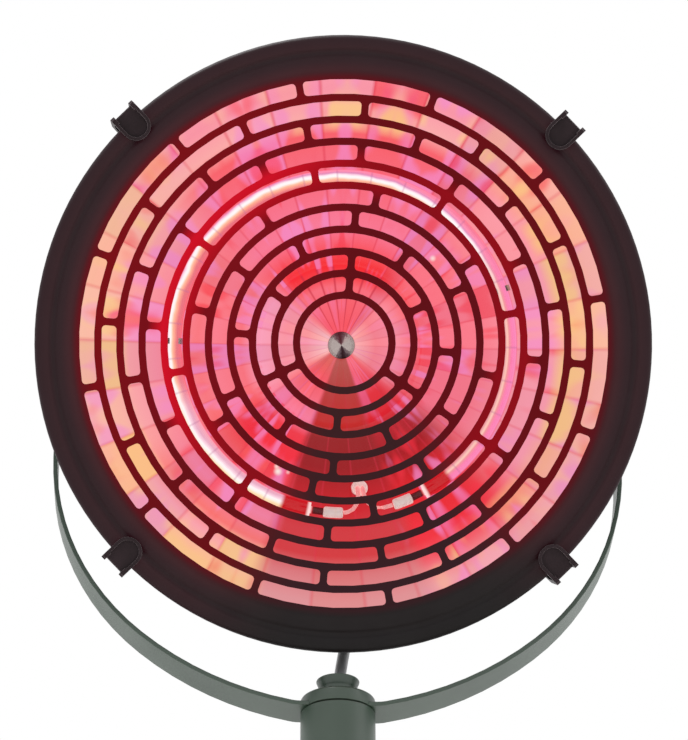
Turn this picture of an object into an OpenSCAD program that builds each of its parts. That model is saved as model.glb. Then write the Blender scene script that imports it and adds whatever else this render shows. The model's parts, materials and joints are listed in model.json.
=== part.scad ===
// Standing patio heater: round infrared head in a flat-strip yoke on a two-piece pole.
// Millimetres. Z is up, the pole's axis is Z, the floor is Z = 0 and the head faces -Y.

/* [Stand] */
// Height of the tilt axis above the floor
pivot_h = 1900; // [1700:10:2150]
// Outside diameter of the pole tubes
pole_d = 50.8; // [46:0.2:54]
// Wall of the pole tubes
pole_wall = 2; // [1.5:0.5:3]
// Height at which the two pole tubes meet
pole_joint_h = 830; // [600:10:1000]
// Length of the sleeve inside the pole joint
sleeve_len = 160; // [120:10:220]
// Wall of the sleeve and of the base spigot
sleeve_wall = 2.5; // [2:0.5:4]
// Diameter of the base plate
base_d = 480; // [420:5:560]
// Thickness of the base plate
base_t = 10; // [8:1:16]
// Height of the rubber ring under the base plate
foot_h = 6; // [5:0.5:10]
// Width of the rubber ring under the base plate
foot_w = 25; // [15:1:40]
// Length of the base spigot that the pole slides over
spigot_len = 110; // [80:5:160]
// Height of the collar round the foot of the pole
collar_h = 26; // [16:1:40]
// Diameter of the collar at the base plate
collar_d = 92; // [76:1:120]
// Height of the mains cable gland above the base plate
gland_h = 60; // [45:1:70]

/* [Yoke] */
// Width of the yoke strip
strip_w = 30; // [26:1:34]
// Thickness of the yoke strip
strip_t = 3; // [2.5:0.5:4]
// Room under the head's rim, down to the yoke's seat
yoke_gap = 72.5; // [65:0.5:90]
// Radius of the bend beside the seat
seat_bend_r = 30; // [20:1:40]
// Rise of the strip beside the seat
seat_bend_a = 11; // [8:1:14]
// Radius of the yoke's bottom
bottom_r = 226; // [220:1:232]
// Slope at which the bottom meets the side bends
bottom_a = 40; // [38:1:42]
// Thickness of the spacers between the brackets and the yoke's arms
spacer_t = 2.4; // [2:0.1:4]
// Radius of the rounded eye at the end of each arm
eye_r = 17; // [16:0.5:20]
// Height of the cap over the yoke's seat
cap_h = 9.5; // [8:0.5:14]
// Height of the flared cable funnel
funnel_h = 14; // [11:0.5:16]
// Diameter of the funnel's mouth
funnel_mouth_d = 29.4; // [28:0.2:34]
// Outside diameter of the hollow swivel stem
stem_d = 16; // [15:0.5:16.5]
// Diameter of the flexible lead to the head
flex_d = 8; // [6:0.5:9]

/* [Head] */
// Downward tilt of the head at rest
head_tilt = 28.5; // [20:0.5:32]
// Distance from the tilt axis to the grille's face
face_z = 130; // [128:1:136]
// Outside radius of the head's rim
rim_r = 210.5; // [190:0.5:230]
// Step from the shell's wall out to the rim
rim_step = 20.5; // [20:0.5:24]
// Thickness of the grille's and the shell's sheet
sheet_t = 1.5; // [1:0.1:2]
// Depth of the grille's skirt behind its face
skirt_h = 22; // [18:1:24]
// Radius of the round hole in the middle of the grille
grille_hole_r = 30; // [26:0.5:32]
// Width of the webs between the rings of slots
web_w = 5; // [4:0.25:7]
// Width of the plain band outside the slots
plate_band = 14.5; // [10:0.5:24]
// Number of rings of slots
slot_rings = 10; // [8:1:10]
// Width of the bridges between the slots of one ring
bridge_w = 5; // [3:0.5:7]
// Radius of the slots' corners
slot_corner_r = 2.5; // [1:0.25:3]
// Turn of the slot pattern in the rim
grille_turn = -4; // [-15:1:15]
// Width of the pressed groove near the rim
groove_w = 6; // [4:0.5:7]
// Depth of the pressed groove
groove_d = 1.4; // [1:0.2:3]
// Depth of the shell's back behind the grille's face
bowl_depth = 110; // [104:1:112]

/* [Lamp] */
// Radius of the lamp ring's centre line
lamp_r = 116; // [108:1:124]
// Outside diameter of the lamp tube
lamp_d = 10; // [8:0.5:12]
// Depth of the lamp ring behind the grille's face
lamp_depth = 35; // [30:1:38]
// Middle of the gap in the lamp ring
lamp_gap_a = -80; // [-95:1:-75]
// Half the gap in the lamp ring
lamp_gap_half = 20; // [18:1:26]
// Radius at which the reflector dish meets the cone
cone_base_r = 57; // [50:1:64]
// Radius of the round button on the cone
cone_cap_r = 9.5; // [8:0.5:12]
// Depth of the button's face behind the grille's face
cone_depth = 52; // [48:1:58]
// Number of pleats round the reflector
pleats = 30; // [20:1:36]

/* [Latches] */
// Width of a grille latch
latch_w = 20; // [17:0.5:22]
// How far a latch reaches in over the rim
latch_reach = 16.5; // [14:0.5:18]
// How far a latch stands out from the rim
latch_stand = 8.5; // [8:0.5:12]
// Thickness of a latch's walls
latch_wall = 3.2; // [1.8:0.1:3.6]
// Turn of the four latches from the diagonals
latch_turn = 0; // [-5:0.25:5]

/* [Controls] */
// Diameter of the tilt knobs
knob_d = 31; // [26:1:36]
// Thickness of the tilt knobs
knob_t = 13; // [10:0.5:14]
// Diameter of the tilt bolts
bolt_d = 8; // [6:0.5:9]
// Width of the electrical housing behind the head
box_w = 130; // [110:1:150]
// Height of the electrical housing
box_l = 84; // [74:1:96]
// Depth of the electrical housing
box_h = 42; // [36:1:48]

/* [Hidden] */

// Fits and small sizes
slip = 0.25;              // sliding fit of tube on sleeve
run = 0.08;               // running clearance on a pin, as a radius
seat_gap = 0.3;           // gap between parts that seat on each other
green = "darkslategray";
black = "#2b2729";
steel = "silver";

bowl_r = rim_r - rim_step;                // shell's straight wall
yoke_drop = rim_r + yoke_gap;             // from the tilt axis down to the seat
pole_r = pole_d / 2;
pole_bore_r = pole_r - pole_wall;
spigot_r = pole_bore_r - slip;
base_top = foot_h + base_t;
base_bore_r = 6.5;
seat_z = pivot_h - yoke_drop;             // top face of the strip on its seat
pole_top = seat_z - strip_t - 1;          // the swivel washer is 1 mm thick
plug_len = 30;
stem_r = stem_d / 2;
stem_bore_r = flex_d / 2 + 2;
stem_top = seat_z + 11;
seat_half = pole_r + 0.5;
cap_skirt = strip_t - 0.3;                // the cap's skirt stops just above the pole
cap_top = seat_z - cap_skirt + cap_h;
cap_bore_r = 11.2;
cap_web = 3.3;
funnel_top = cap_top + funnel_h;
nut_h = 4.6;

// Tilt joint, from the shell's wall outwards
bracket_w = 32;
bracket_t = 3;
bracket_x = bowl_r + 0.5;
nut_x = bracket_x - 7;
arm_x = bracket_x + bracket_t + spacer_t; // inner face of an arm
bolt_r = bolt_d / 2;
arm_out = arm_x + strip_t;
washer_t = 1.2;
knob_x = arm_out + washer_t + 0.3;

// Yoke centre line: three arcs, each tangent to the next, the last one upright at the arm
bend_c = [seat_half, -yoke_drop + seat_bend_r];
bottom_c = bend_c + (seat_bend_r - bottom_r) * [sin(seat_bend_a), -cos(seat_bend_a)];
side_r = (arm_x - bottom_c[0] - bottom_r * sin(bottom_a)) / (1 - sin(bottom_a));
side_c = bottom_c + (bottom_r - side_r) * [sin(bottom_a), -cos(bottom_a)];

// Head, in its own frame: Z runs forward out of the grille, Y runs up its face
skirt_z = face_z - skirt_h;
ring_top = face_z + 0.5;
skin_r = rim_r - sheet_t;                 // inside of the grille's skirt
lip_r = skin_r - 0.5;                     // outside of the shell's lip
lip_top = ring_top - 3.4;            // under the rim's rounded edge
shoulder_z = skirt_z - 6;
bowl_back = face_z - bowl_depth;
bowl_curve_z = bowl_back + 46;
bowl_flat_r = bowl_r - 70;
shield_r = bowl_flat_r - 32;
groove_out_r = rim_r - 9;
plate_r = groove_out_r - groove_w - 1;
slot_pitch = (plate_r - plate_band - grille_hole_r) / slot_rings;
slot_w = slot_pitch - web_w;
first_slot_r = grille_hole_r + web_w;

reflector_t = 1;
dish_z = shoulder_z + sheet_t + reflector_t;   // front of the dish's flange
cone_base_z = face_z - 80;
cone_top_z = face_z - cone_depth;
lamp_z = face_z - lamp_depth;
lamp_tube_r = lamp_d / 2;
lamp_cap_r = 3.75;
lamp_cap_gap = 4.5;       // pinched end of the tube, in degrees of the ring
lamp_cap_span = 6.8;      // length of a ceramic end cap, in degrees of the ring
bush_pos = [15, -99];
wire_hole = bush_pos + [0, 60];            // way from the shell into the housing
bush_top = lamp_z - 25;

pin_r = 1.5;
pin_ring_r = rim_r - 2;   // distance of the latch pins from the head's axis
pin_z = face_z - 44;
latch_in_r = rim_r - latch_reach;
latch_out_r = rim_r + latch_stand;
lug_w = latch_w - 2 * latch_wall - 1;
latch_floor = 2;
latch_ear = 3;            // height of a latch's raised edge over its floor
latch_ear_l = 6;          // length of the thick ears at its outer end
latch_edge = 2.2;         // thickness of the raised edge
floor_out = latch_out_r - 1.9;
lip_gap = seat_gap;
latch_lip_z = ring_top + lip_gap;

box_wall = 2;
box_y = -8;
box_back = bowl_back - box_h;
cover_t = 2;
head_gland_x = 14;
head_gland_z = bowl_back - 22;
gland_len = 20;
rocker_z = bowl_back - 21;

// Routes of the leads: points chosen by hand, x y z. The first one is laid for a rim of 210.5 mm: a
// larger rim moves its lower end down with the seat and its middle back round the shell.
flex_rim_r = 210.5;
function follow_rim(p) = let (s = max(0, min(1, (-p[2] - 60) / 223)))
    p + (rim_r - flex_rim_r) * [0, 0.8 * sin(180 * s), -s];
flex_line = [[0, 0, -300], [0, 0.4, -288], [0.4, 0.9, -276], [0.7, 1.5, -272], [1.5, 3.5, -266], [3, 8, -255],
              [4.5, 14, -244], [6, 21.5, -232], [7.5, 30, -219], [9, 39, -206], [10.5, 48, -191],
              [11.5, 55, -175], [12.5, 59.5, -158], [13.3, 61.3, -141], [13.8, 60.3, -124],
              [14, 57, -108], [14, 51.5, -92], [14, 43.5, -76], [14, 34.6, -59.5]];
flex_route = [for (p = flex_line) follow_rim(p)];
cable_route = [[0, 20, 76], [0, 14, 76], [0, 8, 79], [0, 3.5, 87], [0, 1, 102], [0, 0, 122], [0, 0, 420],
               [0, 0, 820], [0, 0, 1220]];
lead_left = [[3, -116, 95], [6, -115.4, 95], [9.5, -113.5, 94], [12.5, -109, 91],
             [13.2, -104, 86], [13.2, -100.5, 79], [13.2, -99, 70.4]];
lead_right = [[36.6, -110, 95], [31, -111.8, 95], [25, -112, 94], [20, -109, 91],
              [17.4, -104, 86], [16.8, -100.5, 79], [16.8, -99, 70.4]];
wire_live = [[15, -96, 42.9], [18, -89, 34], [19, -78, 27], [18.5, -60, 25], [18, -44, 24.5],
             [17.5, -40, 21], [16.5, -37.5, 15], [14, -30, 9], [12, -21, 4]];
wire_neutral = [[15, -101, 42.9], [11, -94, 34], [10, -80, 27], [11, -60, 25], [11.5, -44, 24.5],
                [12, -40, 21], [11, -37.5, 15], [6, -30, 9], [0, -21, 4]];
wire_supply = [[14, -48, -2], [12, -42, -3], [8, -34, -3], [6, -26, -2], [6, -20.6, -1]];

// Points of an arc
function arc(c, r, a0, a1, n) = [for (i = [0:n]) let (a = a0 + (a1 - a0) * i / n)
    [c[0] + r * cos(a), c[1] + r * sin(a)]];

// Rectangle with round corners
function round_rect(w, l, r) = concat(
    arc([w / 2 - r, l / 2 - r], r, 0, 90, 6), arc([-w / 2 + r, l / 2 - r], r, 90, 180, 6),
    arc([-w / 2 + r, -l / 2 + r], r, 180, 270, 6), arc([w / 2 - r, -l / 2 + r], r, 270, 360, 6));

// Right half of the yoke's line, from the seat to the tilt axis, moved out by off
function yoke_line(off) = concat(
    arc(bend_c, seat_bend_r + off, -90, seat_bend_a - 90, 3),
    arc(bottom_c, bottom_r + off, seat_bend_a - 90, bottom_a - 90, 8),
    arc(side_c, side_r + off, bottom_a - 90, 0, 12), [[arm_x + off, 0]]);
function flip(p) = [for (i = [len(p) - 1:-1:0]) [-p[i][0], p[i][1]]];
function back(p) = [for (i = [len(p) - 1:-1:0]) p[i]];

// Slots: number in each ring, and the angle of each ring's first bridge
function slot_count(k) = k == 0 ? 3 : k < 4 ? 6 : k < 6 ? 8 : 12;
function slot_phase(k) = k == 0 ? 90 : k == 4 ? 37.5 : k == 5 ? 15 :
    k < 4 ? (k % 2 == 1 ? 30 : 0) : (k % 2 == 1 ? 15 : 0);

// Outline of one slot, with parallel bridge sides and rounded corners
function slot_outline(r0, r1, a0, a1) =
    let (c = slot_corner_r,
         out_a = asin((bridge_w / 2 + c) / (r1 - c)),
         in_a = asin((bridge_w / 2 + c) / (r0 + c)),
         n = ceil((a1 - a0) / (r1 < 70 ? 10 : 6)))
    concat(
        arc((r1 - c) * [cos(a0 + out_a), sin(a0 + out_a)], c, a0 - 90, a0 + out_a, 3),
        arc([0, 0], r1, a0 + out_a, a1 - out_a, n),
        arc((r1 - c) * [cos(a1 - out_a), sin(a1 - out_a)], c, a1 - out_a, a1 + 90, 3),
        arc((r0 + c) * [cos(a1 - in_a), sin(a1 - in_a)], c, a1 + 90, a1 - in_a + 180, 3),
        arc([0, 0], r0, a1 - in_a, a0 + in_a, n),
        arc((r0 + c) * [cos(a0 + in_a), sin(a0 + in_a)], c, a0 + in_a + 180, a0 + 270, 3));

// Round tube swept along a route of points
function unit(v) = v / norm(v);
function heading(p, i) = unit(p[min(i + 1, len(p) - 1)] - p[max(i - 1, 0)]);
function ring_at(p, i, r, n) =
    let (t = heading(p, i), u = unit(cross(t, [1, 0.02, 0.01])), v = cross(t, u))
    [for (k = [0:n - 1]) p[i] + r * (cos(360 * k / n) * u + sin(360 * k / n) * v)];
module swept_tube(p, r, n = 8) {
    m = len(p);
    points = [for (i = [0:m - 1]) each ring_at(p, i, r, n)];
    sides = [for (i = [0:m - 2], k = [0:n - 1]) let (a = i * n + k, b = i * n + (k + 1) % n)
        each [[a, b, a + n], [b, b + n, a + n]]];
    ends = [for (k = [1:n - 2]) each [[0, k + 1, k], [(m - 1) * n, (m - 1) * n + k, (m - 1) * n + k + 1]]];
    polyhedron(points, concat(sides, ends));
}

// Thin pleated shell turned from a profile of [r, z] points, with its back moved by -thick
module pleated_shell(profile, thick, wave) {
    n = 2 * pleats;
    m = len(profile);
    function row(i, dz) = [for (k = [0:n - 1]) let (r = profile[i][0], a = 360 * k / n)
        [r * cos(a), r * sin(a), profile[i][1] + dz + (k % 2 == 0 ? wave[i] : 0)]];
    points = concat([for (i = [0:m - 1]) each row(i, 0)], [for (i = [0:m - 1]) each row(i, -thick)]);
    base = m * n;
    front = [for (i = [0:m - 2], k = [0:n - 1]) let (a = i * n + k, b = i * n + (k + 1) % n)
        each [[a, b, a + n], [b, b + n, a + n]]];
    rear = [for (i = [0:m - 2], k = [0:n - 1]) let (a = base + i * n + k, b = base + i * n + (k + 1) % n)
        each [[a, a + n, b], [b, a + n, b + n]]];
    outer = [for (k = [0:n - 1]) let (b = (k + 1) % n) each [[k, base + k, b], [b, base + k, base + b]]];
    inner = [for (k = [0:n - 1]) let (a = (m - 1) * n + k, b = (m - 1) * n + (k + 1) % n)
        each [[a, b, base + a], [b, base + b, base + a]]];
    polyhedron(points, concat(front, rear, outer, inner));
}

// Frames
module head_frame() {
    translate([0, 0, pivot_h]) rotate([head_tilt, 0, 0]) rotate([90, 0, 0]) children();
}
module yoke_frame() { translate([0, 0, pivot_h]) children(); }
module rod(r, x0, x1) { translate([x0, 0, 0]) rotate([0, 90, 0]) cylinder(h = x1 - x0, r = r, $fn = 48); }
module pipe(r, bore, h) {
    difference() {
        cylinder(h = h, r = r, $fn = 96);
        translate([0, 0, -1]) cylinder(h = h + 2, r = bore, $fn = 96);
    }
}
module both_sides() {
    children();
    mirror([1, 0, 0]) children();
}

// Stand
module base_plate() {
    r = base_d / 2;
    edge = 3;
    color(green) difference() {
        rotate_extrude($fn = 120) polygon(concat([[0, foot_h], [r - 1, foot_h], [r, foot_h + 1]],
            arc([r - edge, base_top - edge], edge, 0, 90, 5), [[0, base_top]]));
        cylinder(h = base_top + 1, r = base_bore_r, $fn = 48);
    }
}
module foot_ring() {
    color("dimgray") pipe(base_d / 2 - 6, base_d / 2 - 6 - foot_w, foot_h);
}
module base_spigot() {
    plug = 14;
    color(steel) translate([0, 0, base_top]) difference() {
        cylinder(h = spigot_len, r = spigot_r, $fn = 96);
        translate([0, 0, plug]) cylinder(h = spigot_len, r = spigot_r - sleeve_wall, $fn = 96);
        translate([0, 0, -1]) cylinder(h = plug + 2, r = 5.05, $fn = 48);
        translate([0, 0, gland_h]) rotate([-90, 0, 0]) cylinder(h = pole_d, r = 8, $fn = 48);
        for (s = [-1, 1]) rotate(s * 120) translate([0, 0, 90]) rotate([90, 0, 0])
            cylinder(h = pole_d, r = 2.5, $fn = 32);
    }
}
module base_bolt() {
    color(steel) {
        translate([0, 0, foot_h - 5]) cylinder(h = base_t + 17, r = 5, $fn = 48);
        translate([0, 0, foot_h - 5]) cylinder(h = 3.4, r = 9, $fn = 6);
    }
}
module base_washer() {
    color(steel) translate([0, 0, foot_h - 1.6]) pipe(11, 5.2, 1.6);
}
module base_collar() {
    color(green) translate([0, 0, base_top]) rotate_extrude($fn = 96) polygon(concat(
        [[pole_r + seat_gap, 0], [collar_d / 2, 0], [collar_d / 2, 3]],
        arc([pole_r + 6, collar_h - 3], 3, 20, 90, 4), [[pole_r + seat_gap, collar_h]]));
}
module base_screws() {
    color(steel) for (s = [-1, 1]) rotate(s * 120) translate([0, 0, base_top + 90]) rotate([90, 0, 0]) {
        translate([0, 0, spigot_r - sleeve_wall]) cylinder(h = sleeve_wall + slip + pole_wall, r = 2.45, $fn = 32);
        translate([0, 0, pole_r]) cylinder(h = 2.6, r = 4.6, $fn = 32);
    }
}
module tube_holes(z, r) {
    for (s = [-1, 1]) translate([0, 0, z + s * sleeve_len / 4]) rotate([-90, 0, 0])
        cylinder(h = pole_d, r = r, $fn = 32);
}
module pole_lower() {
    color(green) difference() {
        translate([0, 0, base_top]) pipe(pole_r, pole_bore_r, pole_joint_h - base_top);
        translate([0, 0, base_top + gland_h]) rotate([-90, 0, 0]) cylinder(h = pole_d, r = 6.1, $fn = 48);
        for (s = [-1, 1]) rotate(s * 120) translate([0, 0, base_top + 90]) rotate([90, 0, 0])
            cylinder(h = pole_d, r = 2.5, $fn = 32);
        tube_holes(pole_joint_h, 2.5);
    }
}
module pole_sleeve() {
    color(steel) difference() {
        translate([0, 0, pole_joint_h - sleeve_len / 2]) pipe(spigot_r, spigot_r - sleeve_wall, sleeve_len);
        tube_holes(pole_joint_h, 2.5);
    }
}
module pole_upper() {
    color(green) difference() {
        translate([0, 0, pole_joint_h + seat_gap]) pipe(pole_r, pole_bore_r, pole_top - pole_joint_h - seat_gap);
        tube_holes(pole_joint_h, 2.5);
    }
}
module joint_screws() {
    color(steel) for (s = [-1, 1]) translate([0, 0, pole_joint_h + s * sleeve_len / 4]) rotate([-90, 0, 0]) {
        translate([0, 0, spigot_r - sleeve_wall]) cylinder(h = sleeve_wall + slip + pole_wall, r = 2.45, $fn = 32);
        translate([0, 0, pole_r]) cylinder(h = 2.6, r = 4.6, $fn = 32);
    }
}
module pole_plug() {
    color(steel) translate([0, 0, pole_top - plug_len]) difference() {
        union() {
            cylinder(h = plug_len, r = spigot_r, $fn = 96);
            cylinder(h = plug_len + stem_top - pole_top, r = stem_r, $fn = 64);
        }
        translate([0, 0, -1]) cylinder(h = plug_len + 40, r = stem_bore_r, $fn = 48);
    }
}
module mains_gland() {
    nut_face = sqrt(pow(spigot_r - sleeve_wall, 2) - 81) - 0.1;    // its corners reach the bore's wall
    color("dimgray") translate([0, 0, base_top + gland_h]) rotate([-90, 0, 0]) difference() {
        union() {
            translate([0, 0, nut_face - 3]) cylinder(h = 3, r = 9, $fn = 6);
            translate([0, 0, nut_face - 1]) cylinder(h = pole_r + 2 - nut_face, r = 6, $fn = 48);
            translate([0, 0, pole_r + 0.2]) cylinder(h = 5, r = 9.5, $fn = 6);
            translate([0, 0, pole_r + 5]) cylinder(h = 9, r = 8, $fn = 48);
        }
        translate([0, 0, 10]) cylinder(h = 40, r = 3.5, $fn = 48);
    }
}
module pole_cable() {
    route = concat(cable_route, [[0, 0, seat_z - strip_t - 14.5]]);
    color("dimgray") swept_tube(route, 3.2);
}
module swivel_washer() {
    color("ivory") translate([0, 0, pole_top]) pipe(pole_r - 3, stem_r + run, 1);
}
module swivel_nut() {
    color(steel) translate([0, 0, seat_z + cap_web]) difference() {
        cylinder(h = nut_h, r = cap_bore_r - 0.6, $fn = 6);
        translate([0, 0, -1]) cylinder(h = nut_h + 2, r = stem_r + 0.05, $fn = 64);
    }
}

// Yoke
module yoke_strip() {
    outline = concat(flip(yoke_line(strip_t)), yoke_line(strip_t), back(yoke_line(0)),
                     back(flip(yoke_line(0))));
    color(green) yoke_frame() difference() {
        union() {
            rotate([90, 0, 0]) translate([0, 0, -strip_w / 2]) linear_extrude(strip_w) polygon(outline);
            both_sides() rod(eye_r, arm_x, arm_out);
        }
        both_sides() rod(bolt_r + run, arm_x - 1, arm_out + 1);
        translate([0, 0, -yoke_drop - strip_t - 1]) cylinder(h = strip_t + 2, r = stem_r + run, $fn = 64);
    }
}
module yoke_cap() {
    skirt_z0 = seat_z - cap_skirt;
    edge = 1.8;
    color(green) difference() {
        translate([0, 0, skirt_z0]) rotate_extrude($fn = 96) polygon(concat([[0, 0], [pole_r, 0]],
            arc([pole_r - edge, cap_h - edge], edge, 0, 90, 4), [[0, cap_h]]));
        translate([-pole_r - 1, -strip_w / 2 - slip, skirt_z0 - 1])
            cube([pole_d + 2, strip_w + 2 * slip, cap_skirt + 1]);
        translate([0, 0, skirt_z0 - 1]) cylinder(h = cap_h + 2, r = stem_r + run, $fn = 64);
        translate([0, 0, seat_z + cap_web]) cylinder(h = cap_h, r = cap_bore_r, $fn = 64);
    }
}
module cable_funnel() {
    wall = 1.3;
    neck_r = cap_bore_r + 0.6;
    neck_in_r = cap_bore_r - 0.35;
    cup_r = funnel_mouth_d / 2;
    h = funnel_h;
    outside = [[cap_bore_r + wall, 0], [cap_bore_r + 0.9, 0.8], [neck_r, 2.2], [neck_r, 0.46 * h],
               [neck_r + 0.3, 0.54 * h], [cup_r - 1.9, 0.62 * h], [cup_r - 1.3, 0.72 * h], [cup_r - 0.6, 0.86 * h],
               [cup_r - 0.1, h - 0.8], [cup_r, h - 0.3], [cup_r - 0.3, h]];
    inside = [[cup_r - wall, h], [cup_r - wall - 0.7, 0.84 * h], [cup_r - wall - 1.5, 0.72 * h],
              [cup_r - wall - 2.4, 0.62 * h], [neck_in_r, 0.54 * h], [neck_in_r, 0]];
    color(green) translate([0, 0, cap_top]) rotate_extrude($fn = 96) polygon(concat(outside, inside));
}
module head_flex() {
    color("dimgray") yoke_frame() swept_tube(flex_route, flex_d / 2, 10);
}

// Head
module front_grille() {
    t = sheet_t;
    edge_r = 4;
    top = concat([[grille_hole_r, face_z], [plate_r - 0.6, face_z], [plate_r + 0.4, face_z - 0.1 * groove_d],
                  [plate_r + 1.4, face_z - 0.45 * groove_d], [plate_r + 2.2, face_z - 0.85 * groove_d],
                  [plate_r + 3, face_z - groove_d]],
                 [[groove_out_r - 2.6, face_z - groove_d], [groove_out_r - 1.8, face_z - 0.85 * groove_d],
                  [groove_out_r - 0.9, face_z - 0.4 * groove_d], [groove_out_r + 0.1, ring_top - 0.12 * groove_d],
                  [groove_out_r + 1.2, ring_top]],
                 arc([rim_r - edge_r, ring_top - edge_r], edge_r, 90, 0, 6), [[rim_r, skirt_z]]);
    under = concat([[skin_r, skirt_z]],
                   arc([rim_r - edge_r, ring_top - edge_r], edge_r - t, 0, 90, 4),
                   [[groove_out_r + 0.8, ring_top - t], [groove_out_r + 0.3, face_z - groove_d - t],
                    [plate_r + 0.1, face_z - groove_d - t], [plate_r - 0.4, face_z - t],
                    [grille_hole_r, face_z - t]]);
    color(black) head_frame() difference() {
        rotate_extrude($fn = 160) polygon(concat(top, under));
        rotate(grille_turn) translate([0, 0, face_z - t - 1]) for (k = [0:slot_rings - 1]) {
            r0 = first_slot_r + k * slot_pitch;
            step = 360 / slot_count(k);
            for (i = [0:slot_count(k) - 1]) {
                a0 = slot_phase(k) + i * step;
                linear_extrude(t + 2) polygon(slot_outline(r0, r0 + slot_w, a0, a0 + step));
            }
        }
    }
}
module rear_shell() {
    t = sheet_t;
    back_c = [bowl_flat_r, bowl_curve_z];
    rise = bowl_curve_z - bowl_back;
    wide = bowl_r - bowl_flat_r;
    function bowl_arc(in) = [for (a = [0:9:90])
        [back_c[0] + (wide - in) * cos(a), back_c[1] - (rise - in) * sin(a)]];
    outside = concat([[lip_r, lip_top], [lip_r, shoulder_z + 2], [lip_r - 2, shoulder_z],
                      [bowl_r + 2, shoulder_z], [bowl_r, shoulder_z - 2]], bowl_arc(0));
    inside = concat([[lip_r - t, lip_top], [lip_r - t, shoulder_z + 2 + t / 2],
                     [lip_r - 2 - t / 2, shoulder_z + t], [bowl_r + 2 - t, shoulder_z + t],
                     [bowl_r - t, shoulder_z - 2 + t / 2]], bowl_arc(t));
    color(black) head_frame() difference() {
        rotate_extrude($fn = 160) polygon(concat(outside, [[0, bowl_back], [0, bowl_back + t]], back(inside)));
        for (s = [0, 180]) rotate(s) for (z = bracket_screw_z) translate([0, 0, z]) rod(2.55, bowl_r - 8, bowl_r + 4);
        translate([wire_hole[0], wire_hole[1], bowl_back - 1]) cylinder(h = t + 2, r = 7, $fn = 48);
        translate([0, 0, bowl_back - 1]) cylinder(h = t + 2, r = 3.05, $fn = 32);
    }
}
module reflector_dish() {
    out_r = bowl_r - 8;
    function share_r(s) = cone_base_r + s * (out_r - cone_base_r);
    profile = [[lip_r - 5, dish_z], [out_r, dish_z], [out_r - 6, dish_z - 5], [share_r(0.808), dish_z - 24],
               [share_r(0.536), dish_z - 42], [share_r(0.264), cone_base_z + 4], [cone_base_r, cone_base_z]];
    wave = [0, 0, 1.2, 1.6, 1.6, 1.4, 0.8];
    color("lightpink") head_frame() difference() {
        pleated_shell(profile, reflector_t, wave);
        translate([bush_pos[0], bush_pos[1], cone_base_z - 10]) cylinder(h = 40, r = 6, $fn = 24);
    }
}
module reflector_cone() {
    profile = [[cone_base_r - 0.5, cone_base_z + 1.4], [cone_base_r - 6, cone_base_z + 2.6],
               [24, cone_top_z - 7], [cone_cap_r, cone_top_z - 2]];
    color("pink") head_frame() pleated_shell(profile, reflector_t, [0, 1.2, 1, 0.4]);
}
module cone_cap() {
    color("lightgray") head_frame() translate([0, 0, cone_top_z - 1.6]) difference() {
        union() {
            cylinder(h = 1.6, r = cone_cap_r, $fn = 64);
            translate([0, 0, -8]) cylinder(h = 8.5, r = 5, $fn = 48);
        }
        translate([0, 0, -9]) cylinder(h = 8, r = 3.05, $fn = 32);
    }
}
module cone_stud() {
    color(steel) head_frame() {
        translate([0, 0, bowl_back - 3]) cylinder(h = cone_top_z - bowl_back - 1, r = 3, $fn = 32);
        translate([0, 0, bowl_back + sheet_t]) cylinder(h = 4, r = 5.6, $fn = 6);
    }
}
module reflector_screws() {
    r = (lip_r - 5 + bowl_r) / 2;
    color(steel) head_frame() for (i = [0:5]) rotate(i * 60 + 12) translate([r, 0, 0]) {
        translate([0, 0, dish_z + 0.3]) cylinder(h = 2.4, r = 3.4, $fn = 32);
    }
}
module ring_arc(r, a0, a1, z = lamp_z) {
    translate([0, 0, z]) rotate(a0) rotate_extrude(angle = a1 - a0, $fn = 160)
        translate([lamp_r, 0]) circle(r = r, $fn = 48);
}
module lamp_tube() {
    a0 = lamp_gap_a + lamp_gap_half;
    a1 = lamp_gap_a + 360 - lamp_gap_half;
    color("mistyrose") head_frame() {
        difference() {
            ring_arc(lamp_tube_r, a0, a1);
            ring_arc(lamp_tube_r - 1, a0 + 2, a1 - 2);
        }
        ring_arc(2.5, a0 - lamp_cap_gap, a0);
        ring_arc(2.5, a1, a1 + lamp_cap_gap);
    }
}
module lamp_filament() {
    color("gold") head_frame()
        ring_arc(1.2, lamp_gap_a + lamp_gap_half + 2, lamp_gap_a + 358 - lamp_gap_half);
}
module lamp_end_caps() {
    a0 = lamp_gap_a + lamp_gap_half - lamp_cap_gap;
    a1 = lamp_gap_a - lamp_gap_half + lamp_cap_gap;
    color("white") head_frame() {
        ring_arc(lamp_cap_r, a0 - lamp_cap_span, a0);
        ring_arc(lamp_cap_r, a1, a1 + lamp_cap_span);
    }
}
module lamp_leads() {
    color("mistyrose") head_frame() {
        swept_tube(lead_left, 1.5);
        swept_tube(lead_right, 1.5);
    }
}
module lead_bush() {
    color("white") head_frame() translate([bush_pos[0], bush_pos[1], 0]) {
        translate([0, 0, cone_base_z - 6]) cylinder(h = bush_top - cone_base_z + 6, r = 5.5, $fn = 48);
    }
}
module lamp_clips() {
    foot_z = cone_base_z + 19;
    color(steel) head_frame() for (a = [-80, 0, 80]) rotate(lamp_gap_a + 180 + a) translate([lamp_r, 0, 0]) {
        translate([0, 0, foot_z]) cylinder(h = lamp_z - lamp_tube_r - 1 - foot_z, r = 1.6, $fn = 24);
        translate([0, 2, lamp_z]) rotate([90, 0, 0]) difference() {
            cylinder(h = 4, r = lamp_tube_r + 1.4, $fn = 48);
            translate([0, 0, -1]) cylinder(h = 6, r = lamp_tube_r + 0.3, $fn = 48);
            translate([-3, 0, -1]) cube([6, 12, 6]);
        }
    }
}
module heat_shield() {
    color(steel) head_frame() translate([0, 0, bowl_back + 14]) difference() {
        cylinder(h = 0.8, r = shield_r, $fn = 96);
        translate([0, 0, -1]) cylinder(h = 3, r = 7, $fn = 48);
        translate([10, -80, -1]) cylinder(h = 3, r = 22, $fn = 48);
    }
}
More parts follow.
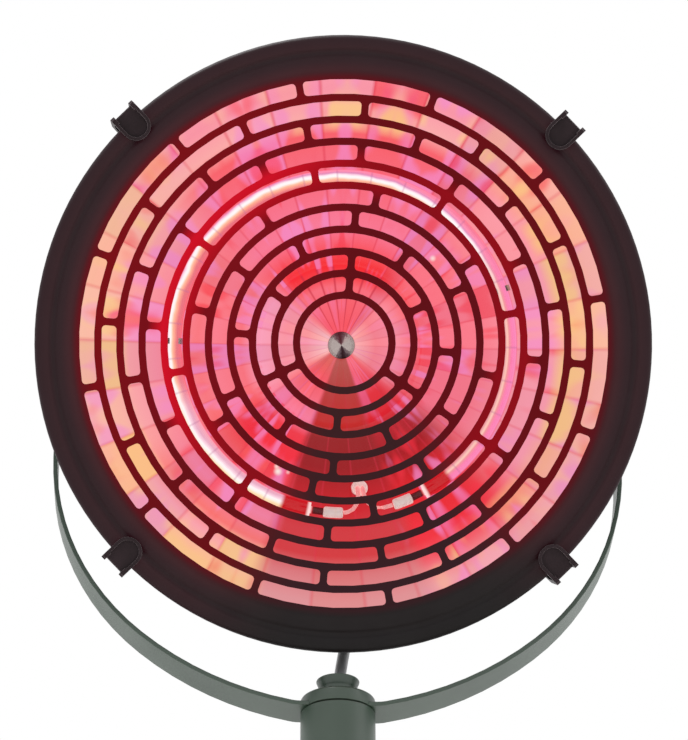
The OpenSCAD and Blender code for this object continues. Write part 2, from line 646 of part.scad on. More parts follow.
module shield_spacers() {
    color(steel) head_frame() for (a = [30, 150, 270]) rotate(a) translate([shield_r - 28, 0, bowl_back + sheet_t])
        cylinder(h = 14 - sheet_t, r = 4, $fn = 32);
}

// Tilt joint
bracket_screw_z = [skirt_z - 34, skirt_z - 18];
module pivot_brackets() {
    color(black) head_frame() difference() {
        both_sides() {
            translate([bracket_x, -bracket_w / 2, 0]) cube([bracket_t, bracket_w, skirt_z - 8]);
            rod(eye_r + 1, bracket_x, bracket_x + bracket_t);
        }
        both_sides() {
            rod(bolt_r + run, bracket_x - 1, bracket_x + bracket_t + 1);
            for (z = bracket_screw_z) translate([0, 0, z]) rod(2.55, bracket_x - 1, bracket_x + bracket_t + 1);
        }
    }
}
module bracket_screws() {
    color(steel) head_frame() both_sides() for (z = bracket_screw_z) translate([0, 0, z]) {
        rod(2.5, bowl_r - 6, bracket_x + bracket_t);
        rod(4.2, bracket_x + bracket_t, bracket_x + bracket_t + 1.8);
        rod(4.4, bowl_r - 5.5, bowl_r - 2);
    }
}
module pivot_nuts() {
    color(steel) head_frame() both_sides() difference() {
        translate([nut_x, 0, 0]) rotate([0, 90, 0]) cylinder(h = bracket_x - nut_x, r = 8.5, $fn = 6);
        rod(bolt_r + run, nut_x - 1, bracket_x + 1);
    }
}
module pivot_spacers() {
    color("dimgray") head_frame() both_sides() difference() {
        rod(13, bracket_x + bracket_t, arm_x - 0.1);
        rod(bolt_r + 0.3, bracket_x, arm_x + 1);
    }
}
module arm_washers() {
    color(steel) yoke_frame() both_sides() difference() {
        rod(10, arm_out, arm_out + washer_t);
        rod(bolt_r + 0.3, arm_out - 1, arm_out + washer_t + 1);
    }
}
module tilt_bolt() {
    rod(bolt_r, nut_x, knob_x + 8);
}
module tilt_knob() {
    difference() {
        union() {
            rod(knob_d / 2 - 4, knob_x, knob_x + knob_t);
            rod(knob_d / 2, knob_x + 3, knob_x + knob_t - 1);
        }
        rod(bolt_r + 0.05, knob_x - 1, knob_x + 8);
        for (i = [0:5]) rotate([i * 60, 0, 0]) translate([0, 0, knob_d / 2 + 3.2])
            rod(6, knob_x - 1, knob_x + knob_t + 1);
    }
}
module tilt_bolt_left() { color(steel) head_frame() mirror([1, 0, 0]) tilt_bolt(); }
module tilt_bolt_right() { color(steel) head_frame() tilt_bolt(); }
module tilt_knob_left() { color(black) head_frame() mirror([1, 0, 0]) tilt_knob(); }
module tilt_knob_right() { color(black) head_frame() tilt_knob(); }

// Electrical housing behind the shell
module rear_housing() {
    color(black) head_frame() translate([0, box_y, box_back]) difference() {
        linear_extrude(box_h) polygon(round_rect(box_w, box_l, 10));
        translate([0, 0, -1]) linear_extrude(box_h - box_wall + 1)
            polygon(round_rect(box_w - 2 * box_wall, box_l - 2 * box_wall, 8));
        translate([wire_hole[0], wire_hole[1] - box_y, 0]) cylinder(h = box_h + 1, r = 7, $fn = 48);
        translate([0, -box_y, 0]) cylinder(h = box_h + 1, r = 3.05, $fn = 32);
        translate([head_gland_x, -box_l / 2 - 1, head_gland_z - box_back]) rotate([-90, 0, 0])
            cylinder(h = 6, r = 6.1, $fn = 48);
        translate([box_w / 2 - 5, -8.2 - box_y, rocker_z - box_back - 13.2]) cube([10, 16.4, 26.4]);
    }
}
cover_screw_x = box_w / 2 - 9;
cover_screw_y = box_l / 2 - 9;
module cover_corners() {
    for (x = [-1, 1], y = [-1, 1]) translate([x * cover_screw_x, box_y + y * cover_screw_y, 0]) children();
}
module housing_cover() {
    color(black) head_frame() {
        difference() {
            translate([0, box_y, box_back - cover_t]) linear_extrude(cover_t)
                polygon(round_rect(box_w, box_l, 10));
            cover_corners() translate([0, 0, box_back - cover_t - 1]) cylinder(h = cover_t + 2, r = 2.1, $fn = 32);
        }
    }
}
module cover_screws() {
    color(steel) head_frame() cover_corners() {
        translate([0, 0, box_back - cover_t - 2.2]) cylinder(h = 2.2, r = 3.8, $fn = 32);
        translate([0, 0, box_back - cover_t]) cylinder(h = 12, r = 2, $fn = 32);
    }
}
module terminal_block() {
    color("ivory") head_frame() translate([-6, -20, bowl_back - box_wall - 18]) difference() {
        cube([30, 14, 18]);
        for (i = [0:2]) translate([6 + i * 9, 7, 9]) cylinder(h = 12, r = 2, $fn = 24);
    }
}
module tip_switch() {
    color("darkslateblue") head_frame() translate([-52, -22, bowl_back - box_wall - 20]) {
        cube([26, 22, 20]);
        translate([13, 11, -3]) cylinder(h = 3, r = 6, $fn = 32);
    }
}
module inner_wires() {
    color("firebrick") head_frame() {
        swept_tube(wire_live, 1.2, 6);
        swept_tube(wire_neutral, 1.2, 6);
        swept_tube(wire_supply, 1.8, 6);
    }
}
module head_gland() {
    color("dimgray") head_frame() translate([head_gland_x, box_y - box_l / 2, head_gland_z]) rotate([90, 0, 0])
        difference() {
            union() {
                translate([0, 0, -box_wall - 4]) cylinder(h = 4, r = 9, $fn = 6);
                translate([0, 0, -box_wall]) cylinder(h = box_wall, r = 6, $fn = 48);
                cylinder(h = 6, r = 9.5, $fn = 6);
                translate([0, 0, 6]) cylinder(h = 10, r = 8.4, $fn = 48);
                translate([0, 0, 16]) cylinder(h = gland_len - 16, r = 6.6, $fn = 48);
            }
            translate([0, 0, -10]) cylinder(h = gland_len + 20, r = flex_d / 2 + 0.5, $fn = 48);
        }
}
rocker_x = box_w / 2 - 2;
module switch_frame() {
    color("dimgray") head_frame() translate([0, 0, rocker_z]) difference() {
        union() {
            translate([box_w / 2 - 12, -8, -13]) cube([12, 16, 26]);
            translate([box_w / 2, -10, -15]) cube([2.5, 20, 30]);
        }
        translate([box_w / 2 - 10, -6.5, -11.4]) cube([20, 13, 22.8]);
        translate([rocker_x, -9, 0]) rotate([-90, 0, 0]) cylinder(h = 18, r = 1.5, $fn = 32);
    }
}
module power_rocker() {
    lean = 9;
    shape = [[-5, -3], [3.4, -9.8], [6.6, -9.8], [5.4, 0], [6.6, 9.8], [3.4, 9.8], [-5, 3]];
    color(black) head_frame() translate([rocker_x, 0, rocker_z]) rotate([0, lean, 0]) {
        rotate([90, 0, 0]) translate([0, 0, -6.2]) linear_extrude(12.4) polygon(shape);
        rotate([90, 0, 0]) translate([0, 0, -7.9]) cylinder(h = 15.8, r = 1.42, $fn = 32);
    }
}

// Grille latches
module at_latch(i) {
    head_frame() rotate(45 + latch_turn + 90 * i) children();
}
module latch_lugs() {
    color(black) for (i = [0:3]) at_latch(i) difference() {
        union() {
            translate([pin_ring_r, lug_w / 2, pin_z]) rotate([90, 0, 0]) cylinder(h = lug_w, r = 4, $fn = 48);
            translate([bowl_r + seat_gap, -lug_w / 2, pin_z - 3]) cube([pin_ring_r - bowl_r - seat_gap, lug_w, 6]);
            translate([bowl_r + seat_gap, -lug_w / 2 - 4, pin_z - 14]) cube([2, lug_w + 8, 25]);
        }
        translate([pin_ring_r, lug_w, pin_z]) rotate([90, 0, 0]) cylinder(h = 2 * lug_w, r = pin_r + 0.02, $fn = 32);
    }
}
module latch_pins() {
    color(steel) for (i = [0:3]) at_latch(i)
        translate([pin_ring_r, latch_w / 2, pin_z]) rotate([90, 0, 0]) cylinder(h = latch_w, r = pin_r, $fn = 32);
}
module latch_plan(inset, end_r) {
    r = latch_w / 2 - inset;
    c = latch_in_r + latch_w / 2;
    polygon(concat([[end_r, -r], [end_r, r]], arc([c, 0], r, 90, 270, 12)));
}
module latch_cheek() {
    z0 = pin_z;
    top = latch_lip_z + latch_floor + latch_ear;
    profile = concat(arc([pin_ring_r, z0], 5, 170, 300, 8), [[latch_out_r, z0 + 5], [latch_out_r, top - 1.5],
        [latch_out_r - 1.5, top], [latch_out_r - latch_ear_l, top], [latch_out_r - latch_ear_l, latch_lip_z + 0.5],
        [floor_out - latch_floor, latch_lip_z + 0.5], [floor_out - latch_floor, z0 + 20]]);
    translate([0, latch_w / 2, 0]) rotate([90, 0, 0]) linear_extrude(latch_wall) polygon(profile);
}
module grille_latch(i) {
    color(black) at_latch(i) difference() {
        union() {
            translate([0, 0, latch_lip_z]) linear_extrude(latch_floor) latch_plan(0, floor_out - 0.5);
            translate([0, 0, latch_lip_z + latch_floor]) linear_extrude(latch_ear) difference() {
                latch_plan(0, latch_out_r - latch_ear_l + 0.5);
                latch_plan(latch_edge, latch_out_r);
            }
            translate([floor_out - latch_floor, -latch_w / 2, pin_z + 12])
                cube([latch_floor, latch_w, latch_lip_z + latch_floor - pin_z - 12.6]);
            latch_cheek();
            mirror([0, 1, 0]) latch_cheek();
        }
        translate([pin_ring_r, latch_w, pin_z]) rotate([90, 0, 0]) cylinder(h = 2 * latch_w, r = pin_r + run, $fn = 32);
    }
}
module grille_latch_1() { grille_latch(0); }
module grille_latch_2() { grille_latch(1); }
module grille_latch_3() { grille_latch(2); }
module grille_latch_4() { grille_latch(3); }

base_plate();
foot_ring();
base_spigot();
base_bolt();
base_washer();
base_collar();
base_screws();
pole_lower();
pole_sleeve();
pole_upper();
joint_screws();
pole_plug();
mains_gland();
pole_cable();
swivel_washer();
swivel_nut();
yoke_strip();
yoke_cap();
cable_funnel();
head_flex();
front_grille();
rear_shell();
reflector_dish();
reflector_cone();
cone_cap();
cone_stud();
reflector_screws();
lamp_tube();
lamp_filament();
lamp_end_caps();
lamp_leads();
lead_bush();
lamp_clips();
heat_shield();
shield_spacers();
pivot_brackets();
bracket_screws();
pivot_nuts();
pivot_spacers();
arm_washers();
rear_housing();
housing_cover();
cover_screws();
terminal_block();
tip_switch();
inner_wires();
head_gland();
switch_frame();
power_rocker();
latch_lugs();
latch_pins();
grille_latch_1();
grille_latch_2();
grille_latch_3();
grille_latch_4();
tilt_bolt_left();
tilt_bolt_right();
tilt_knob_left();
tilt_knob_right();
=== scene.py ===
import json
import math
import bmesh
import bpy
from mathutils import Matrix, Vector


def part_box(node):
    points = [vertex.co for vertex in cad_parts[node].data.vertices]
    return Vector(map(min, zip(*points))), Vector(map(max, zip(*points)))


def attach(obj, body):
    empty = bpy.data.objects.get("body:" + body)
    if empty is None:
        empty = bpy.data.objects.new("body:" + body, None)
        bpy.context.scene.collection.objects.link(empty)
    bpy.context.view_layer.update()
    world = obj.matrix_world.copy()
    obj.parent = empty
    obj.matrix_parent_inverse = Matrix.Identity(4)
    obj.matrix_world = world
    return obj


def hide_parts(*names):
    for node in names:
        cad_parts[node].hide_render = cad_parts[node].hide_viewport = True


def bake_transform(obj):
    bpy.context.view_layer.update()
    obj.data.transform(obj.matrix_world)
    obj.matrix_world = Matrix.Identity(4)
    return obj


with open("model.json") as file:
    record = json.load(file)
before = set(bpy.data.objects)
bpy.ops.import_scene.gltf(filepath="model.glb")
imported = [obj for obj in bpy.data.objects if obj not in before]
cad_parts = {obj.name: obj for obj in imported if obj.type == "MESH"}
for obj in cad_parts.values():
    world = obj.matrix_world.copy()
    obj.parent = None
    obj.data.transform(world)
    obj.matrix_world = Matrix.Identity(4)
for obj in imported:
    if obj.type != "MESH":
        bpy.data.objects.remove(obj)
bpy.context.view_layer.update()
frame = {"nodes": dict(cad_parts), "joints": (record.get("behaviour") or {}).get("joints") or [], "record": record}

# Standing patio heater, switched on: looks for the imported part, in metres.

print("frame loaded,", len(frame["nodes"]), "nodes")

mm = 0.001
scene = bpy.context.scene
scene.view_settings.view_transform = "Standard"

jointByName = {joint["name"]: joint for joint in frame["joints"]}
pivot = Vector(jointByName["head_tilt"]["pos_m"])
headTilt = math.radians(28.5)   # the face looks this far down at rest
faceZ = 130 * mm                # grille face in front of the tilt axis
headMatrix = Matrix.Translation(pivot) @ Matrix.Rotation(headTilt + math.pi / 2, 4, "X")
pleats = 30                     # in the dish and in the cone alike


# Camera

camera = {
    "picture": (688, 740),
    "focal": 3500,                # in the picture's pixels
    "centre": (317.76, 352.36),   # principal point, in the same pixels
    "sensor": 36,
    "distance": 2.5076,
    "elevation": 30.19,       # degrees that it looks up
    "azimuth": -2.05,
    "roll": 0.08,
    "aim": (-0.01397, 0.0, -0.00341),   # from the tilt axis
}


def setCamera(settings):
    data = bpy.data.cameras.new("photoCamera")
    obj = bpy.data.objects.new("photoCamera", data)
    scene.collection.objects.link(obj)
    data.sensor_fit = "HORIZONTAL"
    wide, high = settings["picture"]
    data.sensor_width = settings["sensor"]
    data.lens = settings["focal"] * settings["sensor"] / wide
    data.shift_x = (wide / 2 - settings["centre"][0]) / wide
    data.shift_y = (settings["centre"][1] - high / 2) / wide
    data.clip_end = 60
    turn = Matrix.Rotation(math.radians(settings["azimuth"]), 4, "Z")
    look = turn @ Matrix.Rotation(math.radians(settings["elevation"]), 4, "X")
    spot = pivot + Vector(settings["aim"]) + look @ Vector((0, -settings["distance"], 0))
    roll = Matrix.Rotation(math.radians(settings["roll"]), 4, "Z")
    obj.matrix_world = Matrix.Translation(spot) @ look @ Matrix.Rotation(math.pi / 2, 4, "X") @ roll
    scene.camera = obj


setCamera(camera)
print("camera set")


# Node helpers

def linear(hexColour, alpha=1.0):
    channels = [int(hexColour[i:i + 2], 16) / 255 for i in (1, 3, 5)]
    return [c / 12.92 if c <= 0.04045 else ((c + 0.055) / 1.055) ** 2.4 for c in channels] + [alpha]


def addNode(tree, kind, inputs=None, **settings):
    # inputs: a plain value is set on the socket, a socket or a node is linked to it
    node = tree.nodes.new(kind)
    for name, value in settings.items():
        setattr(node, name, value)
    for name, value in (inputs or {}).items():
        if isinstance(value, bpy.types.Node):
            value = next(socket for socket in value.outputs if socket.enabled)
        if isinstance(value, bpy.types.NodeSocket):
            tree.links.new(value, node.inputs[name])
        else:
            node.inputs[name].default_value = value
    return node


def newMaterial(name, inputs):
    material = bpy.data.materials.new(name)
    material.use_nodes = True
    tree = material.node_tree
    shader = tree.nodes["Principled BSDF"]
    for socket, value in inputs.items():
        shader.inputs[socket].default_value = value
    material.diffuse_color = shader.inputs["Base Color"].default_value
    return material, tree, shader


def objectNoise(tree, size, detail=2.0):
    place = addNode(tree, "ShaderNodeTexCoord")
    return addNode(tree, "ShaderNodeTexNoise", {
        "Vector": place.outputs["Object"], "Scale": 1 / size, "Detail": detail})


def setRamp(ramp, stops):
    elements = ramp.color_ramp.elements
    while len(elements) < len(stops):
        elements.new(0.5)
    for element, (position, hexColour) in zip(elements, stops):
        element.position = position
        element.color = linear(hexColour)
    return ramp


def tintByNoise(tree, shader, size, dark, light, detail=3.0):
    ramp = addNode(tree, "ShaderNodeValToRGB", {"Fac": objectNoise(tree, size, detail)})
    setRamp(ramp, [(0.35, dark), (0.68, light)])
    tree.links.new(ramp.outputs["Color"], shader.inputs["Base Color"])


def varyRoughness(tree, shader, size, low, high):
    spread = addNode(tree, "ShaderNodeMapRange", {
        "Value": objectNoise(tree, size, 3.0), "From Min": 0.3, "From Max": 0.7, "To Min": low,
        "To Max": high})
    tree.links.new(spread.outputs["Result"], shader.inputs["Roughness"])


def addBump(tree, shader, size, height, detail=2.0):
    bump = addNode(tree, "ShaderNodeBump", {"Distance": height, "Height": objectNoise(tree, size, detail)})
    tree.links.new(bump.outputs["Normal"], shader.inputs["Normal"])


# Finishes of the stand and the shell

def polyesterPowderCoat():
    # Baked powder: semi-gloss, with the slight orange peel that it dries to
    finish = {"dark": "#233a2a", "light": "#2d4433", "peel": 2.2 * mm, "peelHeight": 0.01 * mm}
    material, tree, shader = newMaterial("polyesterPowderCoatGreen", {
        "Base Color": linear(finish["dark"]), "Roughness": 0.38, "IOR": 1.75})
    tintByNoise(tree, shader, 60 * mm, finish["dark"], finish["light"])
    varyRoughness(tree, shader, 40 * mm, 0.35, 0.42)
    addBump(tree, shader, finish["peel"], finish["peelHeight"])
    return material


def stovingEnamel():
    # High-temperature enamel: nearly matte, finely grained, with a slight red tint all over that is painted light
    # from the lamp
    finish = {"dark": "#121012", "light": "#191618", "grain": 1.1 * mm, "grainHeight": 0.015 * mm}
    material, tree, shader = newMaterial("stovingEnamelBlack", {
        "Base Color": linear(finish["dark"]), "Roughness": 0.5, "IOR": 1.45, "Specular IOR Level": 0.3})
    tintByNoise(tree, shader, 45 * mm, finish["dark"], finish["light"])
    varyRoughness(tree, shader, 18 * mm, 0.5, 0.6)
    addBump(tree, shader, finish["grain"], finish["grainHeight"])
    return material


def zincPlate():
    # Bright zinc on turned and pressed steel: cool grey with cloudy passivation
    material, tree, shader = newMaterial("zincPlatedSteel", {
        "Base Color": linear("#b9bcc0"), "Metallic": 1.0, "Roughness": 0.32})
    tintByNoise(tree, shader, 6 * mm, "#a9adb3", "#c9c8bf")
    varyRoughness(tree, shader, 3 * mm, 0.26, 0.4)
    addBump(tree, shader, 0.8 * mm, 0.006 * mm)
    return material


def moulded(name, dark, light, roughness, grain=0.7 * mm, height=0.02 * mm, shine=0.5):
    # Injection moulding or die casting with a spark-eroded grain
    material, tree, shader = newMaterial(name, {
        "Base Color": linear(dark), "Roughness": roughness, "IOR": 1.49, "Specular IOR Level": shine})
    tintByNoise(tree, shader, 12 * mm, dark, light)
    varyRoughness(tree, shader, 5 * mm, roughness - 0.05, roughness + 0.06)
    addBump(tree, shader, grain, height)
    return material


def vulcanisedRubber():
    # Pressed rubber: matte, with a grey bloom of talc
    material, tree, shader = newMaterial("vulcanisedRubberBlack", {
        "Base Color": linear("#1b1b1c"), "Roughness": 0.75, "IOR": 1.52})
    tintByNoise(tree, shader, 14 * mm, "#171718", "#262627")
    varyRoughness(tree, shader, 4 * mm, 0.68, 0.82)
    addBump(tree, shader, 1.0 * mm, 0.02 * mm)
    return material


def rubberFlex():
    # Extruded rubber sheath: satin grey, with faint marks of the twisted cores along it
    material, tree, shader = newMaterial("rubberFlexGrey", {
        "Base Color": linear("#a0a0a2"), "Roughness": 0.55, "IOR": 1.5})
    tintByNoise(tree, shader, 9 * mm, "#98989a", "#aaaaac")
    varyRoughness(tree, shader, 4 * mm, 0.44, 0.58)
    addBump(tree, shader, 2.5 * mm, 0.05 * mm)
    return material


# Finishes of the lamp, which glows, and of the reflector and the parts beside it, on which the lamp's reflection
# and light are painted as a glow

def headPlace(tree):
    # Object coordinates turned into the head's own: X right, Y up the face, Z forward
    turn = headMatrix.inverted()
    place = addNode(tree, "ShaderNodeTexCoord")
    return addNode(tree, "ShaderNodeMapping", {
        "Vector": place.outputs["Object"], "Location": turn.to_translation(), "Rotation": turn.to_euler()})


def headPolar(tree, shift=(0, 0)):
    # distance from the head's axis, the ray out to the point, and the angle round the axis
    moved = addNode(tree, "ShaderNodeVectorMath", {
        0: headPlace(tree), 1: (shift[0] * mm, shift[1] * mm, 0)}, operation="SUBTRACT")
    flat = addNode(tree, "ShaderNodeVectorMath", {0: moved, 1: (1, 1, 0)}, operation="MULTIPLY")
    radius = addNode(tree, "ShaderNodeVectorMath", {0: flat}, operation="LENGTH")
    ray = addNode(tree, "ShaderNodeVectorMath", {0: flat}, operation="NORMALIZE")
    split = addNode(tree, "ShaderNodeSeparateXYZ", {"Vector": flat})
    angle = addNode(tree, "ShaderNodeMath", {0: split.outputs["Y"], 1: split.outputs["X"]},
                    operation="ARCTAN2")
    return radius, ray, angle


def sectorMask(tree, ray, middle, inner, outer):
    # 1 within inner degrees of the middle, falling to 0 at outer
    middle, inner, outer = (math.radians(degrees) for degrees in (middle, inner, outer))
    along = addNode(tree, "ShaderNodeVectorMath", {0: ray, 1: (math.cos(middle), math.sin(middle), 0)},
                    operation="DOT_PRODUCT")
    return addNode(tree, "ShaderNodeMapRange", {
        "Value": along, "From Min": math.cos(outer), "From Max": math.cos(inner)},
        interpolation_type="SMOOTHSTEP")


def glowBy(tree, value, stops, reach):
    # hues along a distance, whose stops and reach are in mm
    share = addNode(tree, "ShaderNodeMath", {0: value, 1: reach * mm}, operation="DIVIDE")
    ramp = addNode(tree, "ShaderNodeValToRGB", {"Fac": share})
    return setRamp(ramp, [(r / reach, hexColour) for r, hexColour in stops])


def layOver(tree, glow, mask, amount, above):
    # lays a hue or another glow over this one, as far as mask and amount say
    share = addNode(tree, "ShaderNodeMath", {0: mask, 1: amount}, operation="MULTIPLY")
    hue = linear(above) if isinstance(above, str) else above
    return addNode(tree, "ShaderNodeMix", {0: share, 6: glow, 7: hue}, data_type="RGBA")


def patchField(tree, radius, pleat, fold, seed, low, high):
    # soft patches of painted reflection that jump from one pleat to the next, as the tube's image does
    perMetre, perFold, perPleat = 26, 1.4, 2.3
    slide = addNode(tree, "ShaderNodeMath", {0: fold, 1: perFold, 2: seed}, operation="MULTIPLY_ADD")
    place = addNode(tree, "ShaderNodeCombineXYZ", {
        "X": addNode(tree, "ShaderNodeMath", {0: radius, 1: perMetre}, operation="MULTIPLY"), "Y": slide,
        "Z": addNode(tree, "ShaderNodeMath", {0: pleat, 1: perPleat}, operation="MULTIPLY")})
    noise = addNode(tree, "ShaderNodeTexNoise", {"Vector": place, "Scale": 1.0, "Detail": 1.0})
    return addNode(tree, "ShaderNodeMapRange", {
        "Value": noise.outputs["Fac"], "From Min": low, "From Max": high}, interpolation_type="SMOOTHSTEP")


def spotMask(tree, x, y, size):
    # 1 at a place on the face, in mm, falling to 0 at size
    away = addNode(tree, "ShaderNodeVectorMath", {
        0: addNode(tree, "ShaderNodeVectorMath", {0: headPlace(tree), 1: (1, 1, 0)}, operation="MULTIPLY"),
        1: (x * mm, y * mm, 0)}, operation="DISTANCE")
    return addNode(tree, "ShaderNodeMapRange", {
        "Value": away, "From Max": size * mm, "To Min": 1.0, "To Max": 0.0},
        interpolation_type="SMOOTHSTEP")


# Painted reflection of the lamp on the rolled aluminium, as a glow by distance from the middle in mm. Each sector
# of the head has its own hues.
reflectorPaintedReflection = {
    "reach": 190,
    # hues, middle of the sector, full within, none past: in degrees
    "sectors": [("left", 180, 60, 90), ("top", 95, 30, 54), ("leftFlank", 240, 16, 34),
                ("rightFlank", 297, 14, 33)],
    "wedgeSector": (271, 17, 23),     # shadow of the tube's cold ends
    "creaseShadeSector": (88, 24, 50),        # where the painted shade in the creases is deepest
    # painted reflections of the tube: name, hue, seed, noise level where they start and where they are full
    "paintedTubeReflections": [("lavender", "#f68fd0", 3.1, 0.52, 0.66), ("red", "#fb2c40", 8.7, 0.54, 0.68)],
    # a yellow painted reflection of the tube: hue and strength, its noise field, and the band of radii where it
    # shows
    "yellowReflection": ("#fdd08a", 0.8),
    "yellowReflectionField": (14.2, 0.47, 0.62),
    "yellowReflectionBand": [(148, "#000000"), (155, "#ffffff"), (166, "#ffffff"), (171, "#a0a0a0")],
    # tints of the painted reflection, one to each pleat
    "pleatReflectionTints": [(0.0, "#f4eef6"), (0.5, "#ffffff"), (1.0, "#fff0ea")],
    # hues of the painted reflection by distance, one list to each sector
    "right": [(10, "#ffb4b6"), (24, "#fc8894"), (40, "#fd94a6"), (56, "#fc6470"), (70, "#fe788c"),
              (100, "#fd7e8e"), (130, "#fda0ac"), (147, "#fea4b2"), (160, "#fdb894"), (177, "#feb8ac")],
    "left": [(10, "#ffc4c4"), (24, "#fd9ea6"), (40, "#fd9aa8"), (56, "#fda4be"), (70, "#fd7480"),
             (88, "#fe8090"), (100, "#fd7880"), (130, "#fc96a6"), (147, "#fda8aa"), (160, "#fdb8a8"),
             (177, "#fec0a8")],
    "top": [(14, "#fa5868"), (42, "#fb7080"), (50, "#fa3c44"), (60, "#fa2c34"), (66, "#fc4a54"),
            (86, "#fc7c9c"), (108, "#fb7088"), (130, "#fb6c80"), (148, "#fa646e"), (160, "#fdb0b0"),
            (177, "#fc9aac")],
    "leftFlank": [(14, "#e46460"), (26, "#fb5c68"), (40, "#fe7080"), (56, "#fd84a4"), (68, "#f63848"),
                  (86, "#fb2a3c"), (100, "#f9585e"), (130, "#f784a4"), (147, "#fa7876"), (160, "#fca8b4"),
                  (177, "#fdc694")],
    "rightFlank": [(14, "#fa686e"), (26, "#f25464"), (40, "#e4323e"), (56, "#de2632"), (68, "#b41c28"),
                   (86, "#a80a15"), (100, "#ca1520"), (115, "#e81722"), (147, "#f33440"), (160, "#f6606c"),
                   (177, "#f4a0a8")],
    "wedge": [(14, "#b9544f"), (26, "#b94846"), (40, "#be3a3a"), (56, "#c6302f"), (66, "#981d20"),
              (86, "#9c151b"), (100, "#b81720"), (115, "#d01c28"), (130, "#d43b43"), (147, "#d63e44"),
              (160, "#dd7b80"), (177, "#e3979b")],
    "glints": [   # painted glints where a pleat mirrors the tube's bright ends: x, y and size in mm, strength
        (-42, -88.5, 4, 0.9), (-43, -85, 2.6, 0.7), (-35, -89, 2, 0.5), (64, 63, 3, 0.7),
        (-76, 15.5, 2.4, 0.6)],
}


def rolledReflector(name, settings):
    # Rolled aluminium that mirrors the lamp in every pleat: the reflection is painted on as a glow, so the sheet
    # itself reads as lit
    material, tree, shader = newMaterial(name, {
        "Base Color": linear("#3a2c2e"), "Metallic": 1.0, "Roughness": settings["roughness"],
        "Emission Strength": settings["strength"]})
    radius, ray, angle = headPolar(tree)
    reach = reflectorPaintedReflection["reach"]
    turn = addNode(tree, "ShaderNodeMath", {0: angle, 1: pleats / (2 * math.pi)}, operation="MULTIPLY")
    pleat = addNode(tree, "ShaderNodeMath", {0: turn}, operation="FLOOR")
    fold = addNode(tree, "ShaderNodeMath", {0: turn, 1: 0.5}, operation="PINGPONG")
    # the lamp's painted reflection, carried as emission
    glow = glowBy(tree, radius, reflectorPaintedReflection["right"], reach)
    for hues, *sector in reflectorPaintedReflection["sectors"]:
        glow = layOver(tree, glow, sectorMask(tree, ray, *sector), 1.0,
                       glowBy(tree, radius, reflectorPaintedReflection[hues], reach))
    for image, hexColour, *field in reflectorPaintedReflection["paintedTubeReflections"]:
        glow = layOver(tree, glow, patchField(tree, radius, pleat, fold, *field), settings[image], hexColour)
    band = glowBy(tree, radius, reflectorPaintedReflection["yellowReflectionBand"], reach)
    yellowReflection = addNode(tree, "ShaderNodeMath", {
        0: band.outputs["Color"],
        1: patchField(tree, radius, pleat, fold, *reflectorPaintedReflection["yellowReflectionField"])}, operation="MULTIPLY")
    hexColour, strength = reflectorPaintedReflection["yellowReflection"]
    glow = layOver(tree, glow, yellowReflection, strength, hexColour)
    glow = layOver(tree, glow, sectorMask(tree, ray, *reflectorPaintedReflection["wedgeSector"]), 1.0,
                   glowBy(tree, radius, reflectorPaintedReflection["wedge"], reach))
    luck = addNode(tree, "ShaderNodeTexWhiteNoise", {"W": pleat}, noise_dimensions="1D")
    hue = setRamp(addNode(tree, "ShaderNodeValToRGB", {"Fac": luck.outputs["Value"]}),
                  reflectorPaintedReflection["pleatReflectionTints"])
    glow = addNode(tree, "ShaderNodeMix", {0: 1.0, 6: glow, 7: hue}, data_type="RGBA",
                   blend_type="MULTIPLY")
    # painted shade along the creases between pleats, deepest in the top sector
    creaseShade = addNode(tree, "ShaderNodeMapRange", {
        "Value": fold, "From Max": settings["creaseShadeWidth"], "To Min": 1.0, "To Max": 0.0},
        interpolation_type="SMOOTHSTEP")
    creaseShadeDepth = addNode(tree, "ShaderNodeMapRange", {
        "Value": sectorMask(tree, ray, *reflectorPaintedReflection["creaseShadeSector"]), "To Min": settings["creaseShade"],
        "To Max": settings["topCreaseShade"]})
    glow = layOver(tree, glow, creaseShade, creaseShadeDepth, settings["creaseShadeColour"])
    # painted glints
    for x, y, size, strength in settings["glints"]:
        glow = layOver(tree, glow, spotMask(tree, x, y, size), strength, "#fff4ea")
    tree.links.new(glow.outputs[2], shader.inputs["Emission Color"])
    varyRoughness(tree, shader, 20 * mm, settings["roughness"] - 0.05, settings["roughness"] + 0.08)
    return material


